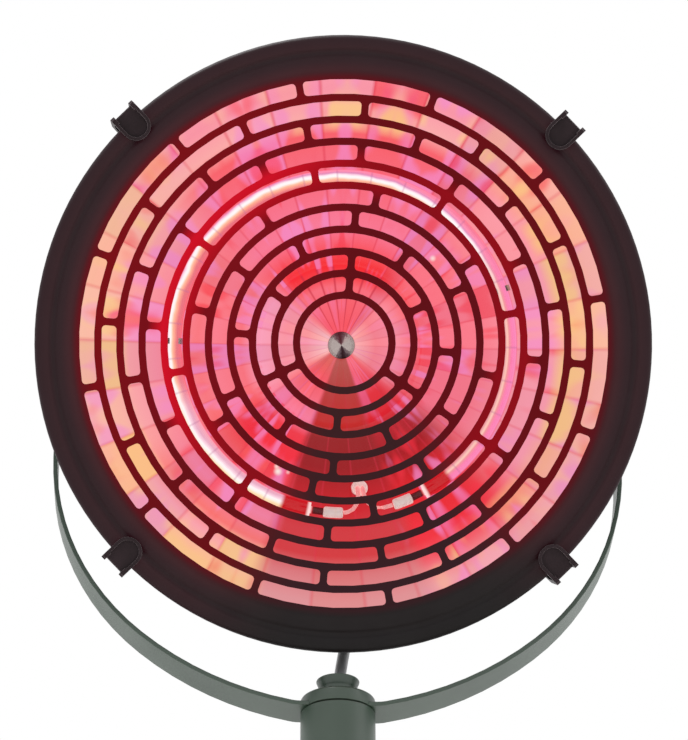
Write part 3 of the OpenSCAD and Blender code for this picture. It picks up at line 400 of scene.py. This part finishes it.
def turnedAluminiumWithPaintedSheen():
    # Face-turned aluminium: the lathe's rings stretch the highlights into a bow tie, and the bow tie is also
    # painted into the colour as a painted highlight, with painted red light from the lamp on its top as a glow
    material, tree, shader = newMaterial("turnedAluminiumWithPaintedSheen", {
        "Metallic": 1.0, "Roughness": 0.38, "Anisotropic": 0.8, "Emission Strength": 0.3})
    rings = addNode(tree, "ShaderNodeTangent", direction_type="UV_MAP", uv_map="turning")
    tree.links.new(rings.outputs["Tangent"], shader.inputs["Tangent"])
    radius, ray, angle = headPolar(tree)
    # painted bow-tie highlight: lighter to the left and right
    side = addNode(tree, "ShaderNodeVectorMath", {0: ray, 1: (0.98, 0.2, 0)}, operation="DOT_PRODUCT")
    bowTieSheen = addNode(tree, "ShaderNodeMath", {0: side}, operation="ABSOLUTE")
    place = addNode(tree, "ShaderNodeCombineXYZ", {
        "X": addNode(tree, "ShaderNodeMath", {0: radius, 1: 120}, operation="MULTIPLY"),
        "Y": addNode(tree, "ShaderNodeMath", {0: angle, 1: 1.3}, operation="MULTIPLY")})
    streaks = addNode(tree, "ShaderNodeTexNoise", {"Vector": place, "Scale": 5.0, "Detail": 4.0})
    bowTieSheen = addNode(tree, "ShaderNodeMath", {0: streaks.outputs["Fac"], 1: 0.7, 2: bowTieSheen},
                  operation="MULTIPLY_ADD")
    sheen = setRamp(addNode(tree, "ShaderNodeValToRGB", {"Fac": bowTieSheen}), [
        (0.45, "#301d21"), (0.7, "#544449"), (0.95, "#7b6c6d"), (1.0, "#a89c99")])
    tree.links.new(sheen.outputs["Color"], shader.inputs["Base Color"])
    # painted red light on the top, as a glow
    paintedRedLight = layOver(tree, sheen, sectorMask(tree, ray, 90, 30, 62), 0.6, "#9c4450")
    tree.links.new(paintedRedLight.outputs[2], shader.inputs["Emission Color"])
    return material


lampGlow = {
    "ring": 116,         # middle and half width of the tube, in mm
    "half": 5,
    "shift": 3.5,        # the hot core hangs to the left in its tube, in mm
    "spread": 1.7,       # so the ramps across it run over this many widths
    "sway": 0.12,
    "supports": 11.6,    # degrees from one coil support to the next
    "creamSector": (232, 22, 42),
    "softSector": (338, 32, 66),
    "gap": 280,          # degrees round to the middle between the tube's ends
    "cold": (29, 31),    # from the gap to where the coil starts
    "endGlint": ((20.4, 21.6), (19.2, 20.2)),   # outer and inner edge of the painted glint on each end of the tube
    "unlit": (18.8, 19.6),
    "strength": (0.9, 0.04),   # of the lit and the unlit glass
    # across the tube from the inside of the ring, with the hot core in the middle
    "hot": [(0.0, "#f0707e"), (0.2, "#e07480"), (0.3, "#f5a08e"), (0.38, "#fcc6a4"), (0.43, "#feeadc"),
            (0.47, "#ffffff"), (0.53, "#ffffff"), (0.57, "#fbe4f4"), (0.64, "#dc92c0"), (0.72, "#fa92b6"),
            (1.0, "#e86c82")],
    "cream": [(0.0, "#f8a4b2"), (0.26, "#e2b2ca"), (0.38, "#f6dcea"), (0.45, "#ffffff"), (0.53, "#fdfaf0"),
              (0.6, "#fbeec0"), (0.68, "#f8d0a4"), (0.76, "#f0a080"), (1.0, "#e07c60")],
    "soft": [(0.0, "#c84858"), (0.12, "#e08c96"), (0.3, "#f8cdb8"), (0.42, "#ec9298"), (0.6, "#f77fb4"),
             (0.85, "#f690c4"), (1.0, "#cc6480")],
}


def quartzGlass():
    # Fused quartz round a glowing coil: clear, but washed out by the light inside; its dark red base colour is a
    # painted reflection of the red-lit reflector
    material, tree, shader = newMaterial("quartzGlass", {
        "Base Color": linear("#6e1e26"), "Roughness": 0.04, "IOR": 1.46, "Transmission Weight": 0.2})
    lamp = lampGlow
    inner, outer = lamp["ring"] - lamp["half"], lamp["ring"] + lamp["half"]
    reach = lamp["spread"] * lamp["half"]
    radius, ray, angle = headPolar(tree)
    moved = headPolar(tree, (-lamp["shift"], 0))[0]
    wobble = addNode(tree, "ShaderNodeTexNoise", {
        "Vector": headPlace(tree), "Scale": 1 / (19 * mm), "Detail": 2.0})
    sway = addNode(tree, "ShaderNodeMapRange", {
        "Value": wobble.outputs["Fac"], "To Min": -lamp["sway"], "To Max": lamp["sway"]})
    across = addNode(tree, "ShaderNodeMapRange", {
        "Value": moved, "From Min": (lamp["ring"] - reach) * mm, "From Max": (lamp["ring"] + reach) * mm})
    across = addNode(tree, "ShaderNodeMath", {0: across, 1: sway}, operation="ADD")
    wall = addNode(tree, "ShaderNodeMapRange", {
        "Value": radius, "From Min": inner * mm, "From Max": outer * mm})
    glow = setRamp(addNode(tree, "ShaderNodeValToRGB", {"Fac": across}), lamp["hot"])
    cream = setRamp(addNode(tree, "ShaderNodeValToRGB", {"Fac": across}), lamp["cream"])
    soft = setRamp(addNode(tree, "ShaderNodeValToRGB", {"Fac": wall}), lamp["soft"])
    glow = layOver(tree, glow, sectorMask(tree, ray, *lamp["creamSector"]), 1.0, cream)
    glow = layOver(tree, glow, sectorMask(tree, ray, *lamp["softSector"]), 0.92, soft)
    supportTurn = addNode(tree, "ShaderNodeMath", {
        0: angle, 1: 360 / lamp["supports"] / (2 * math.pi)}, operation="MULTIPLY")
    supportFold = addNode(tree, "ShaderNodeMath", {0: supportTurn, 1: 0.5}, operation="PINGPONG")
    support = addNode(tree, "ShaderNodeMapRange", {
        "Value": supportFold, "From Min": 0.01, "From Max": 0.045, "To Min": 1.0, "To Max": 0.0})
    glow = layOver(tree, glow, support, 0.35, "#b06a9a")
    edge = addNode(tree, "ShaderNodeMath", {
        0: addNode(tree, "ShaderNodeMath", {0: wall, 1: 0.5}, operation="SUBTRACT")}, operation="ABSOLUTE")
    rimMask = addNode(tree, "ShaderNodeMapRange", {"Value": edge, "From Min": 0.43, "From Max": 0.5})
    glow = layOver(tree, glow, rimMask, 0.75, "#cc2038")
    # painted red light on the cold glass beyond the coil
    glow = layOver(tree, glow, sectorMask(tree, ray, lamp["gap"], *lamp["cold"]), 1.0, "#c00d17")
    # painted glint on each end of the tube
    far, near = (sectorMask(tree, ray, lamp["gap"], *edges) for edges in lamp["endGlint"])
    endGlint = addNode(tree, "ShaderNodeMath", {0: far, 1: near}, operation="SUBTRACT")
    glow = layOver(tree, glow, endGlint, 0.9, "#ffe9e6")
    tree.links.new(glow.outputs[2], shader.inputs["Emission Color"])
    lit, unlit = lamp["strength"]
    lit = addNode(tree, "ShaderNodeMapRange", {
        "Value": sectorMask(tree, ray, lamp["gap"], *lamp["unlit"]), "To Min": lit, "To Max": unlit})
    tree.links.new(lit.outputs["Result"], shader.inputs["Emission Strength"])
    return material


def tungstenCoil():
    # Coiled tungsten at working heat
    material, tree, shader = newMaterial("tungstenCoilLit", {
        "Base Color": linear("#b08070"), "Metallic": 1.0, "Roughness": 0.5, "Emission Strength": 0.8})
    ramp = setRamp(addNode(tree, "ShaderNodeValToRGB", {"Fac": objectNoise(tree, 12 * mm, 1.0)}),
                   [(0.3, "#ffb47a"), (0.7, "#ffe2c0")])
    tree.links.new(ramp.outputs["Color"], shader.inputs["Emission Color"])
    return material


def steatite():
    # Pressed steatite ceramic: chalky white with fine pores; the pink light from the lamp beside it is painted on
    # as a glow
    material, tree, shader = newMaterial("steatiteCeramic", {
        "Base Color": linear("#efe6df"), "Roughness": 0.6, "IOR": 1.6,
        "Emission Color": linear("#ffd8d6"), "Emission Strength": 0.34})
    tintByNoise(tree, shader, 4 * mm, "#e6dbd2", "#f6efe9")
    addBump(tree, shader, 0.6 * mm, 0.03 * mm)
    return material


def wovenSleeve():
    # Silicone-coated glass sleeving, white with a 1 mm braid: the lamp's pink light is painted into its colour and
    # on as a glow
    material, tree, shader = newMaterial("glassFibreSleeve", {
        "Base Color": linear("#f0c4c0"), "Roughness": 0.55, "IOR": 1.45,
        "Emission Color": linear("#ff9c9e"), "Emission Strength": 0.45})
    tintByNoise(tree, shader, 3 * mm, "#eab2ae", "#f8d4ce")
    addBump(tree, shader, 1.0 * mm, 0.12 * mm, detail=0.0)
    return material


def grilleEnamel():
    # The shell's enamel again, darker and less glossy inside 180 mm, with the lamp's red light painted on as a
    # glow where the slots let it out
    paintedSlotLight = {
        "reach": 212,
        # brighter painted red light in one sector, and painted shade below the tube's cold ends in another
        "hotSector": (155, 30, 75),
        "wedgeSector": (280, 16, 42),
        # painted shade in the rim's groove at 198 mm and a painted highlight on its outer edge at 202 mm
        "side": [(30, "#5c030c"), (97, "#5e030d"), (106, "#860110"), (124, "#8e0110"), (134, "#62030c"),
                 (172, "#66030c"), (181, "#540a14"), (185, "#380a12"), (192, "#27060f"), (198, "#1c040a"),
                 (202, "#29070f"), (212, "#1e030c")],
        "hot": [(30, "#60030c"), (97, "#78020f"), (106, "#a60114"), (124, "#d00420"), (134, "#74020f"),
                (172, "#78030c"), (181, "#600a14"), (185, "#3c0b14"), (192, "#27060f"), (198, "#1c040a"),
                (202, "#29070f"), (212, "#1e030c")],
        "wedge": [(30, "#381a1c"), (172, "#32191e"), (182, "#30161a"), (186, "#0e0506"), (212, "#040202")],
    }
    material, tree, shader = newMaterial("stovingEnamelGrille", {
        "Roughness": 0.5, "IOR": 1.45, "Emission Strength": 1.0})
    radius, ray = headPolar(tree)[:2]
    edge = addNode(tree, "ShaderNodeMapRange", {
        "Value": radius, "From Min": 180 * mm, "From Max": 188 * mm}, interpolation_type="SMOOTHSTEP")
    paint = setRamp(addNode(tree, "ShaderNodeValToRGB", {"Fac": edge}),
                    [(0.0, "#060506"), (1.0, "#0f0d0e")])
    tree.links.new(paint.outputs["Color"], shader.inputs["Base Color"])
    shine = addNode(tree, "ShaderNodeMapRange", {"Value": edge, "To Min": 0.07, "To Max": 0.27})
    tree.links.new(shine.outputs["Result"], shader.inputs["Specular IOR Level"])
    glow = glowBy(tree, radius, paintedSlotLight["side"], paintedSlotLight["reach"])
    for hues in ("hot", "wedge"):
        glow = layOver(tree, glow, sectorMask(tree, ray, *paintedSlotLight[hues + "Sector"]), 1.0,
                       glowBy(tree, radius, paintedSlotLight[hues], paintedSlotLight["reach"]))
    tree.links.new(glow.outputs[2], shader.inputs["Emission Color"])
    varyRoughness(tree, shader, 18 * mm, 0.45, 0.56)
    addBump(tree, shader, 1.1 * mm, 0.015 * mm)
    return material


finishes = {
    "powder": polyesterPowderCoat(),
    "enamel": stovingEnamel(),
    "latch": moulded("castZincBlackened", "#2f2427", "#382b2f", 0.45, 1.0 * mm, shine=0.14),
    # lighter finish for the latches' edges: a painted highlight
    "latchEdgeHighlight": moulded("castZincPaintedEdgeHighlight", "#76696d", "#84777b", 0.38, 1.0 * mm),
    "grille": grilleEnamel(),
    "zinc": zincPlate(),
    "nylonBlack": moulded("glassFilledNylonBlack", "#161617", "#1f1f20", 0.48),
    "nylonWhite": moulded("castNylonNatural", "#d2cec2", "#dedbd1", 0.42),
    "abs": moulded("mouldedAbsGrey", "#4c5058", "#565a62", 0.5),
    "pvc": moulded("pvcInsulationRed", "#7a1410", "#8c1a15", 0.4),
    "rubber": vulcanisedRubber(),
    "flex": rubberFlex(),
    "dish": rolledReflector("rolledAluminiumDishWithPaintedReflection", {
        "strength": 0.95, "roughness": 0.26, "lavender": 0.62, "red": 0.6, "creaseShade": 0.3,
        "topCreaseShade": 0.5, "creaseShadeWidth": 0.06, "creaseShadeColour": "#e0304a",
        "glints": reflectorPaintedReflection["glints"]}),
    "cone": rolledReflector("rolledAluminiumConeWithPaintedReflection", {
        "strength": 0.95, "roughness": 0.3, "lavender": 0.25, "red": 0.1, "creaseShade": 0.22,
        "topCreaseShade": 0.75, "creaseShadeWidth": 0.14, "creaseShadeColour": "#cc2c42", "glints": []}),
    "button": turnedAluminiumWithPaintedSheen(),
    "quartz": quartzGlass(),
    "tungsten": tungstenCoil(),
    "steatite": steatite(),
    "sleeve": wovenSleeve(),
}
print(len(finishes), "finishes made")


# Every CAD node gets the finish of its real material

finishOfNodes = {
    "powder": ["base_plate", "base_collar", "pole_lower", "pole_upper", "yoke_strip", "yoke_cap",
               "cable_funnel"],
    "enamel": ["rear_shell", "pivot_brackets", "rear_housing", "housing_cover", "latch_lugs"],
    "latch": ["grille_latch_1", "grille_latch_2", "grille_latch_3", "grille_latch_4"],
    "grille": ["front_grille"],
    "nylonBlack": ["mains_gland", "head_gland", "switch_frame", "power_rocker", "tilt_knob_left",
                   "tilt_knob_right"],
    "rubber": ["foot_ring", "pole_cable"],
    "flex": ["head_flex"],
    "zinc": ["base_spigot", "base_bolt", "base_washer", "base_screws", "pole_sleeve", "joint_screws",
             "pole_plug", "swivel_nut", "cone_stud", "reflector_screws", "lamp_clips", "heat_shield",
             "shield_spacers", "bracket_screws", "pivot_nuts", "arm_washers", "cover_screws", "latch_pins",
             "tilt_bolt_left", "tilt_bolt_right"],
    "dish": ["reflector_dish"],
    "cone": ["reflector_cone"],
    "button": ["cone_cap"],
    "quartz": ["lamp_tube"],
    "tungsten": ["lamp_filament"],
    "steatite": ["lamp_end_caps", "lead_bush", "terminal_block"],
    "sleeve": ["lamp_leads"],
    "nylonWhite": ["swivel_washer", "pivot_spacers"],
    "abs": ["tip_switch"],
    "pvc": ["inner_wires"],
}
finishOfNode = {}
for finishName, nodeNames in finishOfNodes.items():
    for nodeName in nodeNames:
        finishOfNode[nodeName] = finishes[finishName]
        mesh = frame["nodes"][nodeName].data
        mesh.materials.clear()
        mesh.materials.append(finishes[finishName])
bodies = frame["record"]["behaviour"]["bodies"]
bodyOfNode = {node: body for body, nodes in bodies.items() for node in nodes}
print(len(finishOfNode), "nodes have a finish")


# Mesh helpers

def placePiece(name, bm, material, like, replaced=()):
    # like is the CAD node whose body the piece takes
    mesh = bpy.data.meshes.new(name)
    bm.to_mesh(mesh)
    bm.free()
    obj = bpy.data.objects.new(name, mesh)
    scene.collection.objects.link(obj)
    mesh.materials.append(material)
    kept = mesh.attributes.get("custom_normal")
    if kept:
        # the CAD mesh's own normals don't fit a changed mesh
        mesh.attributes.remove(kept)
    mesh.shade_smooth()
    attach(obj, bodyOfNode[like])
    if replaced:
        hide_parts(*replaced)
    return obj


def mergedCopy(nodeName):
    bm = bmesh.new()
    bm.from_mesh(frame["nodes"][nodeName].data)
    bmesh.ops.remove_doubles(bm, verts=bm.verts, dist=0.002 * mm)
    bmesh.ops.dissolve_limit(bm, angle_limit=math.radians(0.4), verts=bm.verts, edges=bm.edges)
    return bm


def roundEdges(nodeName, radius, segments=2, sharp=35):
    # The CAD node with the small radius that pressing, moulding or paint gives its edges
    obj = placePiece(nodeName + "_rounded", mergedCopy(nodeName), finishOfNode[nodeName], nodeName,
                     [nodeName])
    bevel = obj.modifiers.new("edge", "BEVEL")
    bevel.limit_method = "ANGLE"
    bevel.angle_limit = math.radians(sharp)
    bevel.width = radius
    bevel.segments = segments
    bevel.harden_normals = True
    bevel.use_clamp_overlap = True
    # a lighter finish on the bevel faces: a painted edge highlight
    if nodeName in paintedEdgeHighlights:
        obj.data.materials.append(finishes[paintedEdgeHighlights[nodeName]])
        bevel.material = 1


# Light and ground

studio = {
    "front": 0.48,     # white card in front, dimmer than the backdrop
    "back": 1.8,
    "seam": (-0.4, 0.75),     # where one passes into the other, by the sky's direction
    "floorRadius": 2.3,
    "floorCloud": 0.4,
    "floor": ("#e6e4e0", "#ecebe7"),
    "lamps": [   # place from the head, size, watts
        ("keyPanel", (-0.9, -0.9, 2.8), 1.6, 70),
        ("fillPanel", (2.6, -0.8, 2.0), 2.0, 14),
    ],
}


def makeStudio(settings):
    world = bpy.data.worlds.new("paleStudio")
    scene.world = world
    world.use_nodes = True
    tree = world.node_tree
    sky = tree.nodes["Background"]
    rays = addNode(tree, "ShaderNodeLightPath")
    place = addNode(tree, "ShaderNodeTexCoord")
    split = addNode(tree, "ShaderNodeSeparateXYZ", {"Vector": place.outputs["Generated"]})
    level = addNode(tree, "ShaderNodeMapRange", {
        "Value": split.outputs["Y"], "From Min": settings["seam"][0], "From Max": settings["seam"][1],
        "To Min": settings["front"], "To Max": settings["back"]}, interpolation_type="SMOOTHSTEP")
    mirrored = addNode(tree, "ShaderNodeMath", {
        0: rays.outputs["Is Glossy Ray"], 1: rays.outputs["Is Transmission Ray"]}, operation="MAXIMUM")
    shown = addNode(tree, "ShaderNodeMath", {0: rays.outputs["Is Camera Ray"], 1: mirrored},
                    operation="MAXIMUM")
    seen = addNode(tree, "ShaderNodeMix", {0: shown, 2: level, 3: 1.0}, data_type="FLOAT")
    sky.inputs["Color"].default_value = (1, 1, 1, 1)
    tree.links.new(seen.outputs[0], sky.inputs["Strength"])
    for name, place, size, watts in settings["lamps"]:
        light = bpy.data.lights.new(name, "AREA")
        light.size = size
        light.energy = watts
        lamp = bpy.data.objects.new(name, light)
        scene.collection.objects.link(lamp)
        lamp.location = pivot + Vector(place)
        lamp.rotation_euler = (-Vector(place)).to_track_quat("-Z", "Y").to_euler()
    floorMaterial, floorTree, floorShader = newMaterial("paleFloor", {"Roughness": 0.85})
    tintByNoise(floorTree, floorShader, settings["floorCloud"], *settings["floor"])
    bm = bmesh.new()
    bmesh.ops.create_circle(bm, cap_ends=True, segments=96, radius=settings["floorRadius"])
    mesh = bpy.data.meshes.new("floor")
    bm.to_mesh(mesh)
    bm.free()
    floor = bpy.data.objects.new("floor", mesh)
    mesh.materials.append(floorMaterial)
    scene.collection.objects.link(floor)


makeStudio(studio)
print("studio lit")


# Lead from the funnel to the head

flexLead = {
    "radius": 4 * mm,
    "bends": (5, 14),     # two points of the route, by their place in it
    # from the tilt axis, in mm
    "route": [(0, 0, -300), (-0.2, 0.4, -288), (-0.4, 0.9, -276), (-0.5, 1.5, -272), (0.2, 3.5, -266),
              (1.6, 8, -255), (3.1, 14, -244), (4.8, 21.5, -232), (6.6, 30, -219), (8.4, 39, -206),
              (10.1, 48, -191), (11.4, 55, -175), (12.5, 59.5, -158), (13.3, 61.3, -141),
              (13.8, 60.3, -124), (14, 57, -108), (14, 51.5, -92), (14, 43.5, -76), (14, 34.6, -59.5)],
}


def makeFlexLead(settings):
    route = [pivot + Vector(point) * mm for point in settings["route"]]
    curve = bpy.data.curves.new("flexLine", "CURVE")
    curve.dimensions = "3D"
    curve.bevel_depth = settings["radius"]
    curve.bevel_resolution = 6
    curve.resolution_u = 6
    curve.use_fill_caps = True
    spline = curve.splines.new("POLY")
    spline.points.add(len(route) - 1)
    for point, place in zip(spline.points, route):
        point.co = (*place, 1)
    line = bpy.data.objects.new("flexLine", curve)
    scene.collection.objects.link(line)
    bpy.context.view_layer.update()
    mesh = bpy.data.meshes.new_from_object(line)
    bpy.data.objects.remove(line)
    obj = bpy.data.objects.new("flexLead", mesh)
    scene.collection.objects.link(obj)
    mesh.materials.clear()
    mesh.materials.append(finishes["flex"])
    mesh.shade_smooth()
    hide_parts("head_flex")
    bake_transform(obj)


makeFlexLead(flexLead)
print("lead laid")


# Edges of the pieces that show

edgeRadii = {   # in mm
    "grille_latch_1": 0.45, "grille_latch_2": 0.45, "grille_latch_3": 0.45, "grille_latch_4": 0.45,
    "yoke_strip": 0.45, "yoke_cap": 0.35, "pivot_brackets": 0.4, "rear_housing": 0.8, "housing_cover": 0.7,
    "latch_lugs": 0.5, "tilt_knob_left": 0.9, "tilt_knob_right": 0.9, "head_gland": 0.4, "mains_gland": 0.4,
    "switch_frame": 0.5, "power_rocker": 0.5, "base_collar": 0.8, "pole_upper": 0.3, "pole_lower": 0.3,
    "lamp_end_caps": 1.4, "swivel_nut": 0.3, "base_plate": 0.8, "front_grille": 0.4, "cable_funnel": 0.4,
}
# the latches' bevelled edges get a lighter finish: a painted highlight along them
paintedEdgeHighlights = {nodeName: "latchEdgeHighlight" for nodeName in finishOfNodes["latch"]}
for nodeName, radius in edgeRadii.items():
    roundEdges(nodeName, radius * mm)
print(len(edgeRadii), "pieces have rounded edges")


# Reflector: pleated dish and cone

def spunProfile(points, steps, weld):
    # turned round the head's axis from points of radius and height
    bm = bmesh.new()
    verts = [bm.verts.new((radius, 0, height)) for radius, height in points]
    edges = [bm.edges.new(pair) for pair in zip(verts, verts[1:])]
    bmesh.ops.spin(bm, geom=verts + edges, cent=(0, 0, 0), axis=(0, 0, 1), angle=2 * math.pi, steps=steps,
                   use_merge=True)
    bmesh.ops.remove_doubles(bm, verts=bm.verts, dist=weld)
    return bm


def pleatedSpin(name, settings, material, replaced):
    profile = settings["profile"]
    bm = spunProfile([(r * mm, faceZ - depth * mm) for r, depth, fold in profile],
                     pleats * settings["stepsPerPleat"], 0.01 * mm)
    radii = [r * mm for r, depth, fold in profile]
    folds = [fold * mm for r, depth, fold in profile]
    for vert in bm.verts:
        distance = math.hypot(vert.co.x, vert.co.y)
        nearest = min(range(len(radii)), key=lambda i: abs(radii[i] - distance))
        turn = math.atan2(vert.co.y, vert.co.x) * pleats / (2 * math.pi)
        wave = abs((turn % 1) - 0.5) * 2     # 1 on a ridge, 0 in a valley
        vert.co.z += folds[nearest] * wave
    bmesh.ops.recalc_face_normals(bm, faces=bm.faces)
    if sum(face.normal.z for face in bm.faces) < 0:
        bmesh.ops.reverse_faces(bm, faces=bm.faces)
    bmesh.ops.transform(bm, matrix=headMatrix, verts=bm.verts)
    obj = placePiece(name, bm, material, replaced[0], replaced)
    wall = obj.modifiers.new("sheet", "SOLIDIFY")
    wall.thickness = settings["wall"]
    wall.offset = -1
    return obj


# profiles in mm: distance from the axis, depth behind the face, depth of the pleats there
dish = {
    "stepsPerPleat": 4,
    "wall": 0.8 * mm,
    "bushHole": 5.9 * mm,      # radius
    "refined": 18 * mm,        # the faces this near to the hole are cut finer
    "profile": [(203, 26.4, 0), (182, 26.4, 0), (179.5, 27.5, 0.4), (176, 31.5, 1.2), (168, 41, 1.6),
                (158, 50, 1.6), (142, 59.5, 1.6), (124, 68, 1.6), (107, 72.5, 1.5), (90, 76, 1.4),
                (73, 78.5, 1.1), (60, 79.9, 0.6), (52, 81, 0)],
}
cone = {
    "stepsPerPleat": 4,
    "wall": 0.8 * mm,
    "profile": [(56.5, 78.6, 0), (54, 77.6, 0.7), (51, 76.6, 1.2), (40, 70, 1.2), (30, 63.6, 1.1),
                (24, 59.4, 1.0), (16, 57, 0.7), (9.8, 53.8, 0.4)],
}


def drillBush(obj, settings):
    # a round hole where the ceramic bush comes through the dish
    holeRadius = settings["bushHole"]
    low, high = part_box("lead_bush")
    centre = (headMatrix.inverted() @ ((low + high) / 2)).xy
    bm = bmesh.new()
    bm.from_mesh(obj.data)
    bmesh.ops.transform(bm, matrix=headMatrix.inverted(), verts=bm.verts)
    near = [face for face in bm.faces
            if (face.calc_center_median().xy - centre).length < settings["refined"]]
    bmesh.ops.subdivide_edges(bm, edges=list({edge for face in near for edge in face.edges}), cuts=3,
                              use_grid_fill=True)
    inside = [face for face in bm.faces if (face.calc_center_median().xy - centre).length < holeRadius]
    bmesh.ops.delete(bm, geom=inside, context="FACES")
    for vert in bm.verts:
        out = vert.co.xy - centre
        if vert.is_boundary and out.length < 2 * holeRadius:
            out = centre + out.normalized() * holeRadius
            vert.co = (out.x, out.y, vert.co.z)
    bmesh.ops.transform(bm, matrix=headMatrix, verts=bm.verts)
    bm.to_mesh(obj.data)
    bm.free()


dishPiece = pleatedSpin("pleatedDish", dish, finishes["dish"], ["reflector_dish"])
drillBush(dishPiece, dish)
pleatedSpin("pleatedCone", cone, finishes["cone"], ["reflector_cone"])
print("reflector pleated")


# Button on the cone

button = {
    "depth": 52,       # behind the face, in mm
    "steps": 96,
    # stem, rim and slightly crowned face: distance from the axis, height
    "profile": [(5, -9.6), (5, -1.6), (9.5, -1.6), (9.5, -0.4), (9, 0), (6.3, 0.12), (3.2, 0.16),
                (0.4, 0.16)],
    "ringLength": 10 * mm,
}


def makeButton(settings):
    top = faceZ - settings["depth"] * mm
    bm = spunProfile([(r * mm, top + z * mm) for r, z in settings["profile"]], settings["steps"],
                     0.001 * mm)
    bmesh.ops.holes_fill(bm, edges=[edge for edge in bm.edges if edge.is_boundary])
    bmesh.ops.recalc_face_normals(bm, faces=bm.faces)
    turning = bm.loops.layers.uv.new("turning")
    for face in bm.faces:
        middle = face.calc_center_median()
        base = math.atan2(middle.y, middle.x)
        for loop in face.loops:
            spot = loop.vert.co
            drift = math.atan2(spot.y, spot.x) - base
            drift = (drift + math.pi) % (2 * math.pi) - math.pi
            loop[turning].uv = ((base + drift) / (2 * math.pi), spot.xy.length / settings["ringLength"])
    bmesh.ops.transform(bm, matrix=headMatrix, verts=bm.verts)
    placePiece("turnedButton", bm, finishes["button"], "cone_cap", ["cone_cap"])


makeButton(button)


# Lamp: coil inside the quartz tube

coil = {
    "depth": 35,           # behind the face, in mm like the next three
    "turn": 1.1,
    "wire": 0.36,
    "pitch": 2.4,
    "ends": (-56, 256),    # degrees round the ring
    "stepsPerTurn": 14,
}


def makeCoil(settings):
    ring = lampGlow["ring"]
    start, end = (math.radians(degrees) for degrees in settings["ends"])
    span = end - start
    turns = round(span * ring / settings["pitch"])
    bm = bmesh.new()
    centre = Vector((ring * mm, 0, faceZ - settings["depth"] * mm))
    bmesh.ops.create_circle(bm, segments=5, radius=settings["wire"] * mm,
                            matrix=Matrix.Translation(centre) @ Matrix.Rotation(math.pi / 2, 4, "X"))
    bmesh.ops.rotate(bm, verts=bm.verts, cent=(0, 0, 0), matrix=Matrix.Rotation(start, 3, "Z"))
    bmesh.ops.spin(bm, geom=list(bm.verts) + list(bm.edges), cent=(0, 0, 0), axis=(0, 0, 1), angle=span,
                   steps=turns * settings["stepsPerTurn"])
    bmesh.ops.holes_fill(bm, edges=[edge for edge in bm.edges if edge.is_boundary])
    for vert in bm.verts:
        around = (math.atan2(vert.co.y, vert.co.x) - start) % (2 * math.pi)
        helix = around / span * turns * 2 * math.pi
        outward = Vector((vert.co.x, vert.co.y, 0)).normalized()
        vert.co += outward * math.cos(helix) * settings["turn"] * mm
        vert.co.z += math.sin(helix) * settings["turn"] * mm
    bmesh.ops.recalc_face_normals(bm, faces=bm.faces)
    bmesh.ops.transform(bm, matrix=headMatrix, verts=bm.verts)
    placePiece("tungstenCoil", bm, finishes["tungsten"], "lamp_filament", ["lamp_filament"])


makeCoil(coil)
print("lamp lit")
